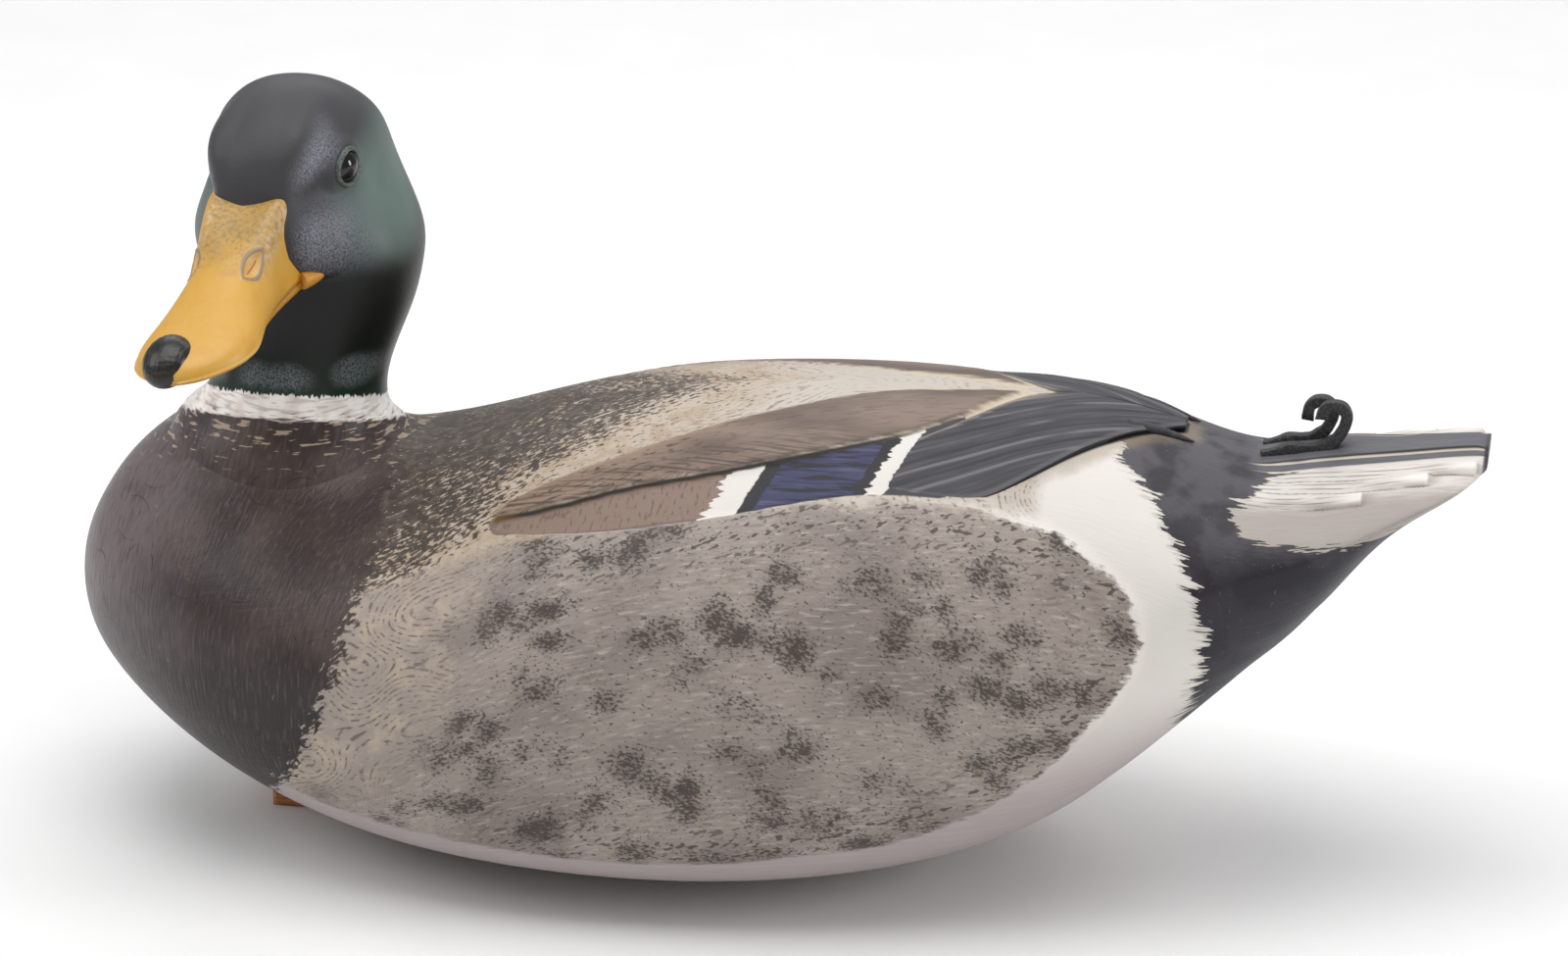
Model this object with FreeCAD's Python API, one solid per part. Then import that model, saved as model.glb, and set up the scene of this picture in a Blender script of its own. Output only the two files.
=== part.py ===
"""Floating duck decoy: a hollow carved mallard drake with a turned head.

Millimetres, +Z up. The duck swims towards -X, its left side faces -Y, and the
origin is the middle of the keel's flat underside, which the decoy rests on.
Each sub-part is one STEP file in parts/.
"""
import FreeCAD, Part
import math
import os

from FreeCAD import Vector

# ---- driving dimensions ----------------------------------------------------

# Hull stations from breast to tail: x, half width, top z, bottom z, z of the
# widest point, roundness of the top half and of the bottom half (2 = ellipse).
HULL = [
    (-146, 1, 71, 68, 69.5, 2.0, 2.0),
    (-145, 8, 78, 61, 69, 2.0, 2.0),
    (-142, 17, 87, 51, 69, 2.0, 2.0),
    (-135, 28, 98, 41, 69, 2.0, 2.0),
    (-123, 40, 107, 31, 68, 2.0, 2.1),
    (-105, 53, 111, 21, 66, 2.0, 2.3),
    (-80, 65, 111, 12, 63, 2.0, 2.6),
    (-45, 76, 114, 6, 59, 2.0, 3.0),
    (0, 83, 127, 4, 57, 2.05, 3.3),
    (45, 82, 135, 4, 57, 2.05, 3.3),
    (90, 75, 138, 7, 61, 2.0, 2.9),
    (129, 64, 137, 17, 73, 1.9, 2.5),
    (159, 53, 132, 37, 89, 1.8, 2.1),
    (184, 44, 125, 60, 101, 1.6, 1.9),
    (206, 39, 126.5, 82, 108, 1.45, 1.8),
    (226, 32, 128, 106, 116, 1.45, 1.8),
    (242, 23, 129.5, 118, 122, 1.5, 2.0),
    (249, 13, 130, 123, 126.5, 1.6, 2.0),
]
HULL_SECTIONS = 26          # lofted sections, interpolated from the stations
SECTION_POINTS = 26         # points round each section
SEAM_Z = 60                 # joint between the two hollowed hull halves

# Hollow inside the hull: x, half width, top z, bottom z.
HOLLOW = [
    (-94, 26, 80, 44),
    (-82, 42, 86, 34),
    (-64, 54, 91, 28),
    (-37, 62, 98, 24),
    (0, 69, 111, 22),
    (45, 68, 119, 22),
    (88, 60, 122, 26),
    (116, 50, 119, 34),
    (134, 38, 111, 48),
]
HOLLOW_ROUNDNESS = 2.4

# Head block: middle of the eyes, how far it is turned, nodded and tipped.
EYE_MID = (-83, -9, 194)
HEAD_YAW, HEAD_PITCH, HEAD_ROLL = 80, 6, 2
# Level slices of neck and head: z, centre forward of and left of the eye
# middle, half length fore and aft, half width.
HEAD_SLICES = [
    (104, -8, 0, 30, 31),
    (112, -8, -1, 29, 30),
    (118, -7.5, -1.5, 26.5, 27.5),
    (124, -8, -0.5, 25, 24.5),
    (132, -9, 0.5, 25, 24),
    (142, -11, 2.5, 25.5, 25),
    (152, -13, 3, 27, 28),
    (162, -14.5, 2, 29, 31),
    (171, -16, 1, 30.5, 31.5),
    (181, -16.5, 0, 31, 28),
    (190, -16, -1, 30.5, 25),
    (197.5, -15, -1, 28.5, 23),
    (203.5, -13.5, -1, 25, 21),
    (208.8, -12, -1, 19, 17),
    (212.5, -10.5, -0.5, 12.5, 12.5),
    (214.5, -10, 0, 6.5, 7.5),
    (215.4, -10, 0, 1.2, 2),
]

# Bill slices in the head's own frame: forward of the eyes, half width, top and
# bottom above or below the eyes.
BILL_SLICES = [
    (9, 14, -2, -31),
    (16, 14, -1.5, -32),
    (23, 13, -3, -33),
    (32, 12, -7.5, -33),
    (42, 12, -12, -32.5),
    (52, 13.5, -16, -32),
    (61, 14.9, -19, -31.5),
    (68, 14.6, -21, -31),
    (74.5, 12.4, -22.5, -30.7),
    (79.5, 9, -24, -30.3),
    (82.5, 4.5, -26, -29.8),
]
BILL_ROUNDNESS = 2.3
BILL_DOWEL = {"start": -10, "end": 26, "height": -18, "radius": 4}

EYE_DEPTH = 16.5            # eye centre from the head's middle plane
EYE_SHIFT = 0.3             # both eyes sit this far left of it
EYE_GLASS_RADIUS = 5.5
EYE_SOCKET_RADIUS = 7.2
EYE_LID_RADIUS = 4.4
EYE_LID_THICKNESS = 1.1
EYE_WIRE_RADIUS = 0.6
EYE_WIRE_LENGTH = 13
EYE_AHEAD_ANGLE = 13        # how far the eyes look forward of straight out

NECK_AXIS = (-80, 0)
LAG_SCREW = {"radius": 3, "top": 152, "head_radius": 6.5, "head_height": 5}
WASHER = {"radius": 10, "thickness": 2, "top": 88}
NECK_DOWEL = {"radius": 4, "bottom": 92, "top": 124, "offset": 15}

BODY_DOWEL = {"radius": 5, "bottom": 46, "top": 76}
BODY_DOWEL_SPOTS = [(-118, -18), (-118, 18), (147, -20), (147, 20)]

# Folded wing tips laid on the back: x, inner and outer edge from the middle,
# thickness above the back, gap under the tip.
WING_TIP = [
    (91, 33, 45, 0.8, 0),
    (102, 25.5, 45, 1.0, 0),
    (114, 15, 43.5, 1.2, 0),
    (124, 5, 39, 1.3, 0),
    (133, 0.4, 33.5, 1.5, 0),
    (145, 0.4, 24, 1.9, 0),
    (158, 0.4, 12, 2.7, 0.6),
    (167, 0.4, 4, 3.4, 1.2),
]
WING_SPAN_POINTS = 7
WING_ROOT_DEPTH = 2         # how far the blank reaches into the back

CURL_SIDE = 3.2             # square strip that the tail curls are bent from
CURL_SPACING = 4            # curls stand this far off the middle
CURL_START = (188, 126.4)   # x and z of the tang's end in the rump
CURL_PATHS = {              # the left curl (-1) stands taller and further aft
    -1: [("run", 11.8, 0), ("turn", 11, 80), ("turn", 3.4, 185), ("run", 0.8, 0)],
    1: [("run", 9.6, 0), ("turn", 9, 80), ("turn", 3.4, 185), ("run", 2.5, 0)],
}

KEEL = {"length": 184, "width": 20, "inlet_top": 12, "edge": 1.2}
BALLAST = {"near": 24, "far": 64, "width": 11, "bottom": 0.5, "top": 9}
KEEL_SCREW_SPOTS = [-80, -12, 12, 80]
KEEL_SCREW = {"radius": 2, "length": 19, "head_radius": 4.2, "head_height": 3, "sunk": 1}
BALLAST_SCREW = {"radius": 1.6, "length": 15, "head_radius": 3.2, "head_height": 2, "sunk": 1}

TIE_X = -98                 # the line tie hangs just ahead of the keel
TIE_BAR_Z = 12              # swing axis: the staple's bar, along X
TIE_STAPLE_SPAN = 6
TIE_STAPLE_WIRE = 0.9
TIE_LEG_TOP = 34
TIE_RING_RADIUS = 3.9
TIE_RING_WIRE = 0.7
TIE_CLEARANCE = 0.2


# ---- curves and solids -----------------------------------------------------

def natural_spline(rows, count):
    """Interpolate rows of numbers at count places, evenly along their length."""
    places = [0.0]
    for before, after in zip(rows, rows[1:]):
        gap = math.sqrt(sum((b - a) ** 2 for a, b in zip(before[:4], after[:4])))
        places.append(places[-1] + math.sqrt(gap))
    last = len(rows) - 1
    columns = []
    for values in zip(*rows):
        bend = [0.0] * (last + 1)
        ratio = [0.0] * (last + 1)
        for i in range(1, last):
            left = places[i] - places[i - 1]
            right = places[i + 1] - places[i]
            change = (values[i + 1] - values[i]) / right - (values[i] - values[i - 1]) / left
            pivot = 2 * (left + right) - left * ratio[i - 1]
            ratio[i] = right / pivot
            bend[i] = (6 * change - left * bend[i - 1]) / pivot
        for i in range(last - 1, 0, -1):
            bend[i] -= ratio[i] * bend[i + 1]
        column = []
        for step in range(count):
            place = places[-1] * step / (count - 1)
            i = max(k for k in range(last) if places[k] <= place + 1e-9)
            width = places[i + 1] - places[i]
            a = (places[i + 1] - place) / width
            b = (place - places[i]) / width
            curve = ((a ** 3 - a) * bend[i] + (b ** 3 - b) * bend[i + 1]) * width ** 2 / 6
            column.append(a * values[i] + b * values[i + 1] + curve)
        columns.append(column)
    return list(zip(*columns))


def signed_power(value, power):
    return math.copysign(abs(value) ** power, value)


def closed_wire(points):
    curve = Part.BSplineCurve()
    curve.interpolate(Points=points, PeriodicFlag=True)
    return Part.Wire([curve.toShape()])


def loft(wires):
    return Part.makeLoft(wires, True, False)


def oval(half_width, top, bottom, widest, round_top, round_bottom):
    """Points (sideways, up) of a hull-like section, from the top round to the top."""
    outline = []
    for k in range(SECTION_POINTS):
        angle = 2 * math.pi * k / SECTION_POINTS
        across = math.sin(angle)
        upward = math.cos(angle)
        above = upward >= 0
        power = 2 / (round_top if above else round_bottom)
        height = top - widest if above else widest - bottom
        outline.append((half_width * signed_power(across, power),
                        widest + height * signed_power(upward, power)))
    return outline


def head_axes():
    """Unit vectors of the head: forward, left and up."""
    yaw, pitch, roll = (math.radians(a) for a in (HEAD_YAW, HEAD_PITCH, HEAD_ROLL))
    level_forward = Vector(-math.cos(yaw), -math.sin(yaw), 0)
    level_left = Vector(math.sin(yaw), -math.cos(yaw), 0)
    upright = Vector(0, 0, 1)
    forward = level_forward * math.cos(pitch) - upright * math.sin(pitch)
    nodded_up = level_forward * math.sin(pitch) + upright * math.cos(pitch)
    left = level_left * math.cos(roll) + nodded_up * math.sin(roll)
    up = nodded_up * math.cos(roll) - level_left * math.sin(roll)
    return forward, left, up


FORWARD, LEFT, UP = head_axes()


def head_point(forward, left, up):
    return Vector(*EYE_MID) + FORWARD * forward + LEFT * left + UP * up


def rod(start, end, radius):
    along = end - start
    return Part.makeCylinder(radius, along.Length, start, along)


def upright_rod(x, y, bottom, top, radius):
    return Part.makeCylinder(radius, top - bottom, Vector(x, y, bottom))


def screw_from_below(x, sizes):
    """Countersunk screw driven up from the keel's underside, and its hole."""
    start = sizes["sunk"]
    shank_start = start + sizes["head_height"]
    cone = Part.makeCone(sizes["head_radius"], sizes["radius"], sizes["head_height"], Vector(x, 0, start))
    shank = upright_rod(x, 0, shank_start, start + sizes["length"], sizes["radius"])
    recess = upright_rod(x, 0, -1, start, sizes["head_radius"])
    screw = cone.fuse(shank).removeSplitter()
    return screw, screw.fuse(recess)


def cut_all(shape, tools):
    for tool in tools:
        shape = shape.cut(tool)
    return shape


# ---- hull ------------------------------------------------------------------

def hull_block():
    wires = []
    for x, *section in natural_spline(HULL, HULL_SECTIONS):
        wires.append(closed_wire([Vector(x, y, z) for y, z in oval(*section)]))
    return loft(wires)


def hull_row(x):
    """Hull section at x, from a fine interpolation of the stations."""
    rows = natural_spline(HULL, 400)
    return min(rows, key=lambda row: abs(row[0] - x))


def hull_hollow():
    wires = []
    for x, half_width, top, bottom in natural_spline(HOLLOW, 14):
        middle = (top + bottom) / 2
        section = oval(half_width, top, bottom, middle, HOLLOW_ROUNDNESS, HOLLOW_ROUNDNESS)
        wires.append(closed_wire([Vector(x, y, z) for y, z in section]))
    return loft(wires)


# ---- head, bill and eyes ---------------------------------------------------

def head_block():
    yaw = math.radians(HEAD_YAW)
    forward = Vector(-math.cos(yaw), -math.sin(yaw), 0)
    left = Vector(math.sin(yaw), -math.cos(yaw), 0)
    wires = []
    for z, ahead, aside, half_length, half_width in HEAD_SLICES:
        middle = Vector(EYE_MID[0], EYE_MID[1], z) + forward * ahead + left * aside
        points = []
        for k in range(SECTION_POINTS):
            angle = 2 * math.pi * k / SECTION_POINTS
            reach = forward * (half_length * math.cos(angle))
            points.append(middle + reach + left * (half_width * math.sin(angle)))
        wires.append(closed_wire(points))
    return loft(wires)


def bill_block():
    wires = []
    for ahead, half_width, top, bottom in natural_spline(BILL_SLICES, 16):
        low = bottom + 0.3 * (top - bottom)
        section = oval(half_width, top, bottom, low, BILL_ROUNDNESS, BILL_ROUNDNESS)
        wires.append(closed_wire([head_point(ahead, y, z) for y, z in section]))
    return loft(wires)


def eye(side, head):
    """Glass, putty bed with its lid, wire, and the socket cut for them."""
    ahead = math.radians(EYE_AHEAD_ANGLE)
    outward = FORWARD * math.sin(ahead) + LEFT * (side * math.cos(ahead))
    middle = head_point(-1, side * EYE_DEPTH + EYE_SHIFT, 0)
    glass = Part.makeSphere(EYE_GLASS_RADIUS, middle, outward)
    socket = Part.makeSphere(EYE_SOCKET_RADIUS, middle, outward)
    wire = rod(middle, middle - outward * EYE_WIRE_LENGTH, EYE_WIRE_RADIUS)
    lid_middle = middle + outward * (EYE_GLASS_RADIUS - EYE_LID_THICKNESS * 1.6)
    lid = Part.makeTorus(EYE_LID_RADIUS, EYE_LID_THICKNESS, lid_middle, outward)
    putty = socket.common(head).fuse(lid.cut(head)).cut(glass).cut(wire)
    return {
        "glass": glass,
        "putty": putty,
        "wire": wire.cut(glass),
        "socket": socket.fuse(wire).fuse(lid),
    }


# ---- feathers laid on the carving ------------------------------------------

def back_height(row, y):
    half_width, top, widest, roundness = row[1], row[2], row[4], row[5]
    share = max(0.0, 1 - (abs(y) / half_width) ** roundness)
    return widest + (top - widest) * share ** (1 / roundness)


def wing_tip(side, hull):
    wires = []
    for x, inner, outer, thickness, gap in WING_TIP:
        row = hull_row(x)
        spread = [inner + (outer - inner) * k / (WING_SPAN_POINTS - 1) for k in range(WING_SPAN_POINTS)]
        upper = [Vector(x, side * y, back_height(row, y) + thickness) for y in spread]
        under = gap if gap else -WING_ROOT_DEPTH
        lower = [Vector(x, side * y, back_height(row, y) + under) for y in reversed(spread)]
        wires.append(Part.makePolygon(upper + lower + upper[:1]))
    return Part.makeLoft(wires, True, True).cut(hull)


def tail_curl(side):
    """Square strip: a tang in the rump, a run along it, and a forward curl."""
    y = side * CURL_SPACING
    start = Vector(CURL_START[0], y, CURL_START[1])
    heading = 0.0
    place = start
    edges = []
    for kind, size, angle in CURL_PATHS[side]:
        if kind == "run":
            after = place + Vector(size * math.cos(heading), 0, size * math.sin(heading))
            edges.append(Part.LineSegment(place, after).toShape())
        else:
            centre = place + Vector(-math.sin(heading), 0, math.cos(heading)) * size
            turned = []
            for share in (0.5, 1.0):
                way = heading + math.radians(angle) * share
                turned.append(centre - Vector(-math.sin(way), 0, math.cos(way)) * size)
            edges.append(Part.Arc(place, turned[0], turned[1]).toShape())
            after = turned[1]
            heading += math.radians(angle)
        place = after
    half = CURL_SIDE / 2
    corners = [start + Vector(0, dy, dz) for dy, dz in
               ((-half, -half), (half, -half), (half, half), (-half, half), (-half, -half))]
    return Part.Wire(edges).makePipeShell([Part.makePolygon(corners)], True, True)


# ---- keel, ballast and line tie --------------------------------------------

def keel_block(hull):
    length, width = KEEL["length"], KEEL["width"]
    corner = Vector(-length / 2, -width / 2, 0)
    tall = Part.makeBox(length, width, 45, corner)
    long_edges = [e for e in tall.Edges if e.BoundBox.ZMax < 1 and e.Length > width + 1]
    end_edges = [e for e in tall.Edges if e.BoundBox.ZLength > 1]
    tall = tall.makeChamfer(KEEL["edge"], long_edges + end_edges)
    inlet = Part.makeBox(length, width, KEEL["inlet_top"], corner)
    return tall.cut(hull).fuse(tall.common(inlet)).removeSplitter()


def ballast_slug(direction):
    length = BALLAST["far"] - BALLAST["near"]
    low = BALLAST["near"] if direction > 0 else -BALLAST["far"]
    corner = Vector(low, -BALLAST["width"] / 2, BALLAST["bottom"])
    return Part.makeBox(length, BALLAST["width"], BALLAST["top"] - BALLAST["bottom"], corner)


def ballast_pocket(slug):
    box = slug.BoundBox
    return Part.makeBox(box.XLength, box.YLength, box.ZMax + 1, Vector(box.XMin, box.YMin, -1))


def line_tie():
    """Staple with a straight bar, and the ring that swings on it."""
    half = TIE_STAPLE_SPAN / 2
    ends = [Vector(TIE_X - half, 0, TIE_BAR_Z), Vector(TIE_X + half, 0, TIE_BAR_Z)]
    staple = rod(ends[0], ends[1], TIE_STAPLE_WIRE)
    for end in ends:
        staple = staple.fuse(Part.makeSphere(TIE_STAPLE_WIRE, end))
        staple = staple.fuse(upright_rod(end.x, 0, TIE_BAR_Z, TIE_LEG_TOP, TIE_STAPLE_WIRE))
    ring_z = TIE_BAR_Z + TIE_STAPLE_WIRE + TIE_CLEARANCE + TIE_RING_WIRE - TIE_RING_RADIUS
    ring = Part.makeTorus(TIE_RING_RADIUS, TIE_RING_WIRE, Vector(TIE_X, 0, ring_z), Vector(1, 0, 0))
    return staple.removeSplitter(), ring


# ---- the assembly ----------------------------------------------------------

def build():
    parts = {}
    hull = hull_block()
    head = head_block()
    bill = bill_block()

    staple, parts["line_tie_ring"] = line_tie()
    parts["line_tie_staple"] = staple
    keel = keel_block(hull)
    slugs = [ballast_slug(-1), ballast_slug(1)]
    slug_middle = (BALLAST["near"] + BALLAST["far"]) / 2
    keel_screws = [screw_from_below(x, KEEL_SCREW) for x in KEEL_SCREW_SPOTS]
    slug_screws = [screw_from_below(x, BALLAST_SCREW) for x in (-slug_middle, slug_middle)]
    holes = [hole for screw, hole in keel_screws + slug_screws]
    parts["keel"] = cut_all(keel, [ballast_pocket(slug) for slug in slugs] + holes)
    parts["keel_screws"] = Part.makeCompound([screw for screw, hole in keel_screws])
    parts["ballast_screws"] = Part.makeCompound([screw for screw, hole in slug_screws])
    parts["ballast_slugs"] = Part.makeCompound([cut_all(slug, holes) for slug in slugs])

    dowels = [upright_rod(x, y, BODY_DOWEL["bottom"], BODY_DOWEL["top"], BODY_DOWEL["radius"])
              for x, y in BODY_DOWEL_SPOTS]
    parts["body_dowels"] = Part.makeCompound(dowels)

    neck_x, neck_y = NECK_AXIS
    washer_bottom = WASHER["top"] - WASHER["thickness"]
    screw_top = LAG_SCREW["top"]
    shank = upright_rod(neck_x, neck_y, washer_bottom, screw_top, LAG_SCREW["radius"])
    hexagon = []
    for k in range(7):
        angle = math.radians(60 * k)
        hexagon.append(Vector(neck_x + LAG_SCREW["head_radius"] * math.cos(angle),
                              neck_y + LAG_SCREW["head_radius"] * math.sin(angle),
                              washer_bottom - LAG_SCREW["head_height"]))
    bolt_head = Part.Face(Part.makePolygon(hexagon)).extrude(Vector(0, 0, LAG_SCREW["head_height"]))
    lag_screw = shank.fuse(bolt_head).removeSplitter()
    washer = upright_rod(neck_x, neck_y, washer_bottom, WASHER["top"], WASHER["radius"])
    spot_face = upright_rod(neck_x, neck_y, 60, WASHER["top"], WASHER["radius"] + 1)
    neck_dowels = [upright_rod(neck_x, side * NECK_DOWEL["offset"], NECK_DOWEL["bottom"],
                               NECK_DOWEL["top"], NECK_DOWEL["radius"]) for side in (-1, 1)]
    parts["neck_lag_screw"] = lag_screw
    parts["neck_washer"] = washer.cut(shank)
    parts["neck_dowels"] = Part.makeCompound(neck_dowels)

    eyes = {"left": eye(1, head), "right": eye(-1, head)}
    for side, pieces in eyes.items():
        parts["eye_glass_" + side] = pieces["glass"]
        parts["eye_putty_" + side] = pieces["putty"]
    parts["eye_wires"] = Part.makeCompound([pieces["wire"] for pieces in eyes.values()])
    sockets = [pieces["socket"] for pieces in eyes.values()]

    bill_dowel = rod(head_point(BILL_DOWEL["start"], 0, BILL_DOWEL["height"]),
                     head_point(BILL_DOWEL["end"], 0, BILL_DOWEL["height"]), BILL_DOWEL["radius"])
    parts["bill_dowel"] = bill_dowel
    parts["bill"] = bill.cut(bill_dowel)
    parts["head"] = cut_all(head, [bill, bill_dowel, shank] + neck_dowels + sockets)

    curls = {"left": tail_curl(-1), "right": tail_curl(1)}
    for side, curl in curls.items():
        parts["tail_curl_" + side] = curl
    parts["primaries_left"] = wing_tip(-1, hull)
    parts["primaries_right"] = wing_tip(1, hull)

    shell = hull.cut(hull_hollow())
    above = Part.makeBox(500, 300, 200, Vector(-250, -150, SEAM_Z))
    below = Part.makeBox(500, 300, SEAM_Z + 50, Vector(-250, -150, -50))
    upper = cut_all(shell.common(above), [head, spot_face, shank] + neck_dowels + dowels)
    parts["body_upper"] = cut_all(upper, list(curls.values()))
    lower_tools = [keel, staple, spot_face] + holes + dowels
    parts["body_lower"] = cut_all(shell.common(below), lower_tools)
    return parts


def main():
    os.makedirs("parts", exist_ok=True)
    for name, shape in sorted(build().items()):
        solids = shape.Solids
        tidy = solids[0] if len(solids) == 1 else Part.makeCompound(solids)
        tidy.exportStep("parts/" + name + ".step")
        box = tidy.BoundBox
        print("%-18s solids %d valid %s volume %.1f cm3  z %.1f to %.1f" % (
            name, len(solids), tidy.isValid(), tidy.Volume / 1000, box.ZMin, box.ZMax))


main()
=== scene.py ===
"""Floating duck decoy: carved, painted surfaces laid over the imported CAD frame.

Metres and the CAD frame throughout: the duck swims towards -X, its left side
faces -Y. Tables are in millimetres, as on the carver's drawing.
"""
import math

import bmesh
import bpy
import numpy as np
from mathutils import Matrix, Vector
from mathutils.bvhtree import BVHTree


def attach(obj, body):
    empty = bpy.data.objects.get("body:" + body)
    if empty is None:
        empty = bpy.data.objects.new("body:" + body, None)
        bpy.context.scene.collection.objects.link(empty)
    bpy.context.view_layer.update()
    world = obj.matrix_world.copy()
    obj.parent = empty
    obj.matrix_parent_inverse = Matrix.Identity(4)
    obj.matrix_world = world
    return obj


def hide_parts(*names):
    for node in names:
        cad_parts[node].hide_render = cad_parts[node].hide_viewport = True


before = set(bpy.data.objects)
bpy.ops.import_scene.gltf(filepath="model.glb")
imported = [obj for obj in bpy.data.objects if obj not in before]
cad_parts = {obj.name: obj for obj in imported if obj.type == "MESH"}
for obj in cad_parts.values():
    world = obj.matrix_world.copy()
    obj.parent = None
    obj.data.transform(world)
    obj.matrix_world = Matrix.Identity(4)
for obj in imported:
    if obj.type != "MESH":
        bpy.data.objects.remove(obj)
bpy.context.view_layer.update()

MM = 0.001
SEED = 23

# ---- shape tables, shared with the CAD part --------------------------------

# Hull: x, half width, top z, bottom z, z of the widest point, roundness of the
# top half and of the bottom half (2 = ellipse).
HULL = [
    (-146, 1, 71, 68, 69.5, 2.0, 2.0),
    (-145, 8, 78, 61, 69, 2.0, 2.0),
    (-142, 17, 87, 51, 69, 2.0, 2.0),
    (-135, 28, 98, 41, 69, 2.0, 2.0),
    (-123, 40, 107, 31, 68, 2.0, 2.1),
    (-105, 53, 111, 21, 66, 2.0, 2.3),
    (-80, 65, 111, 12, 63, 2.0, 2.6),
    (-45, 76, 114, 6, 59, 2.0, 3.0),
    (0, 83, 127, 4, 57, 2.05, 3.3),
    (45, 82, 135, 4, 57, 2.05, 3.3),
    (90, 75, 138, 7, 61, 2.0, 2.9),
    (129, 64, 137, 17, 73, 1.9, 2.5),
    (159, 53, 132, 37, 89, 1.8, 2.1),
    (184, 44, 125, 60, 101, 1.6, 1.9),
    (206, 39, 126.5, 82, 108, 1.45, 1.8),
    (226, 32, 128, 106, 116, 1.45, 1.8),
    (242, 23, 129.5, 118, 122, 1.5, 2.0),
    (249, 13, 130, 123, 126.5, 1.6, 2.0),
]
HULL_STATIONS = 320         # mesh rows from breast to tail
HULL_COLUMNS = 150          # mesh columns from the back to the keel, each side
SEAM_Z = 60                 # joint between the two hull halves

EYE_MID = np.array((-83.0, -9.0, 194.0))
HEAD_YAW, HEAD_PITCH, HEAD_ROLL = 80, 6, 2
# Level slices of neck and head: z, centre forward of and left of the eye
# middle, half length fore and aft, half width.
HEAD_SLICES = [
    (104, -8, 0, 30, 31),
    (112, -8, -1, 29, 30),
    (118, -7.5, -1.5, 26.5, 27.5),
    (124, -8, -0.5, 25, 24.5),
    (132, -9, 0.5, 25, 24),
    (142, -11, 2.5, 25.5, 25),
    (152, -13, 3, 27, 28),
    (162, -14.5, 2, 29, 31),
    (171, -16, 1, 30.5, 31.5),
    (181, -16.5, 0, 31, 28),
    (190, -16, -1, 30.5, 25),
    (197.5, -15, -1, 28.5, 23),
    (203.5, -13.5, -1, 25, 21),
    (208.8, -12, -1, 19, 17),
    (212.5, -10.5, -0.5, 12.5, 12.5),
    (214.5, -10, 0, 6.5, 7.5),
    (215.4, -10, 0, 1.2, 2),
]
# Bill in the head's own frame: forward of the eyes, half width, top and bottom
# against the eyes.
BILL_SLICES = [
    (9, 14, -2, -31),
    (16, 14, -1.5, -32),
    (23, 13, -3, -33),
    (32, 12, -7.5, -33),
    (42, 12, -12, -32.5),
    (52, 13.5, -16, -32),
    (61, 14.9, -19, -31.5),
    (68, 14.6, -21, -31),
    (74.5, 12.4, -22.5, -30.7),
    (79.5, 9, -24, -30.3),
    (82.5, 4.5, -26, -29.8),
]
# Folded wing tip: x, inner and outer edge from the middle, thickness above the
# back, gap under the tip.
WING_TIP = [
    (91, 33, 45, 0.8, 0),
    (102, 25.5, 45, 1.0, 0),
    (114, 15, 43.5, 1.2, 0),
    (124, 5, 39, 1.3, 0),
    (133, 0.4, 33.5, 1.5, 0),
    (145, 0.4, 24, 1.9, 0),
    (158, 0.4, 12, 2.7, 0.6),
    (167, 0.4, 4, 3.4, 1.2),
]
CURL_SIDE = 3.2             # square strip that the tail curls are bent from
CURL_CORNER = 0.38          # sharpness of its corners: 1 is round, 0 is square
CURL_SPACING = 4
CURL_START = (188, 126.4)
# Each curl: run, then radius and degrees of its turns, then the straight tip.
CURL_PATHS = {
    -1: (11.8, [(11, 80), (3.4, 185)], 0.8),
    1: (9.6, [(9, 80), (3.4, 185)], 2.5),
}

EYE_DEPTH = 16.5            # eye centre from the head's middle plane
EYE_SHIFT = 0.3             # both eyes sit this far left of it
EYE_GLASS_RADIUS = 5.5
EYE_AHEAD_ANGLE = 13        # degrees that the eyes look forward of straight out

# ---- where the paint goes: landmarks x, y, z on the left side --------------

SCAPULAR = [
    (-20, -50, 108), (-7, -43, 116), (19, -35, 125), (32, -29, 128), (48, -22, 131), (66, -15, 135),
    (84, -8, 138), (105, -5, 138), (126, -1, 137), (118, -8, 137), (108, -20, 135), (98, -26, 133),
    (87, -31, 131), (62, -39, 127), (42, -44, 123), (21, -47, 119), (0, -51, 113),
]
WING_EDGE = [        # strip and speculum: the folded wing below the scapulars
    (-19, -50, 108), (0, -51, 113), (21, -47, 119), (42, -44, 123), (62, -39, 127), (87, -31, 131),
    (98, -26, 133), (112, -16, 135), (112, -44, 121), (91, -46, 122), (77, -48, 121), (48, -55, 116),
    (38, -56, 114), (13, -59, 110), (-13, -56, 106),
]
SIDE_POCKET = [
    (-21, -53, 106), (13, -59, 110), (44, -55, 115), (77, -48, 121), (101, -45, 121), (124, -44, 119),
    (140, -45, 114), (153, -49, 106), (161, -51, 98), (163, -51, 91), (162, -51, 79), (155, -51, 67),
    (145, -53, 55), (132, -56, 43), (112, -60, 33), (85, -66, 28), (40, -70, 25), (0, -70, 25),
    (-45, -66, 27), (-85, -56, 28), (-90, -60, 60), (-60, -68, 95),
]
BREAST_EDGE = [
    (-60, 0, 113), (-56, -10, 112), (-51, -17, 111), (-47, -43, 104), (-50, -60, 91), (-53, -70, 77),
    (-59, -72, 60), (-69, -66, 40), (-78, -56, 28), (-84, -40, 16), (-88, 0, 12),
]
RUMP_EDGE = [
    (150, 0, 134), (150, -12, 132), (152, -21, 129), (157, -29, 124), (166, -36, 116), (174, -45, 103),
    (178, -44, 86), (176, -38, 72), (168, -17, 48), (166, 0, 43),
]
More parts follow.
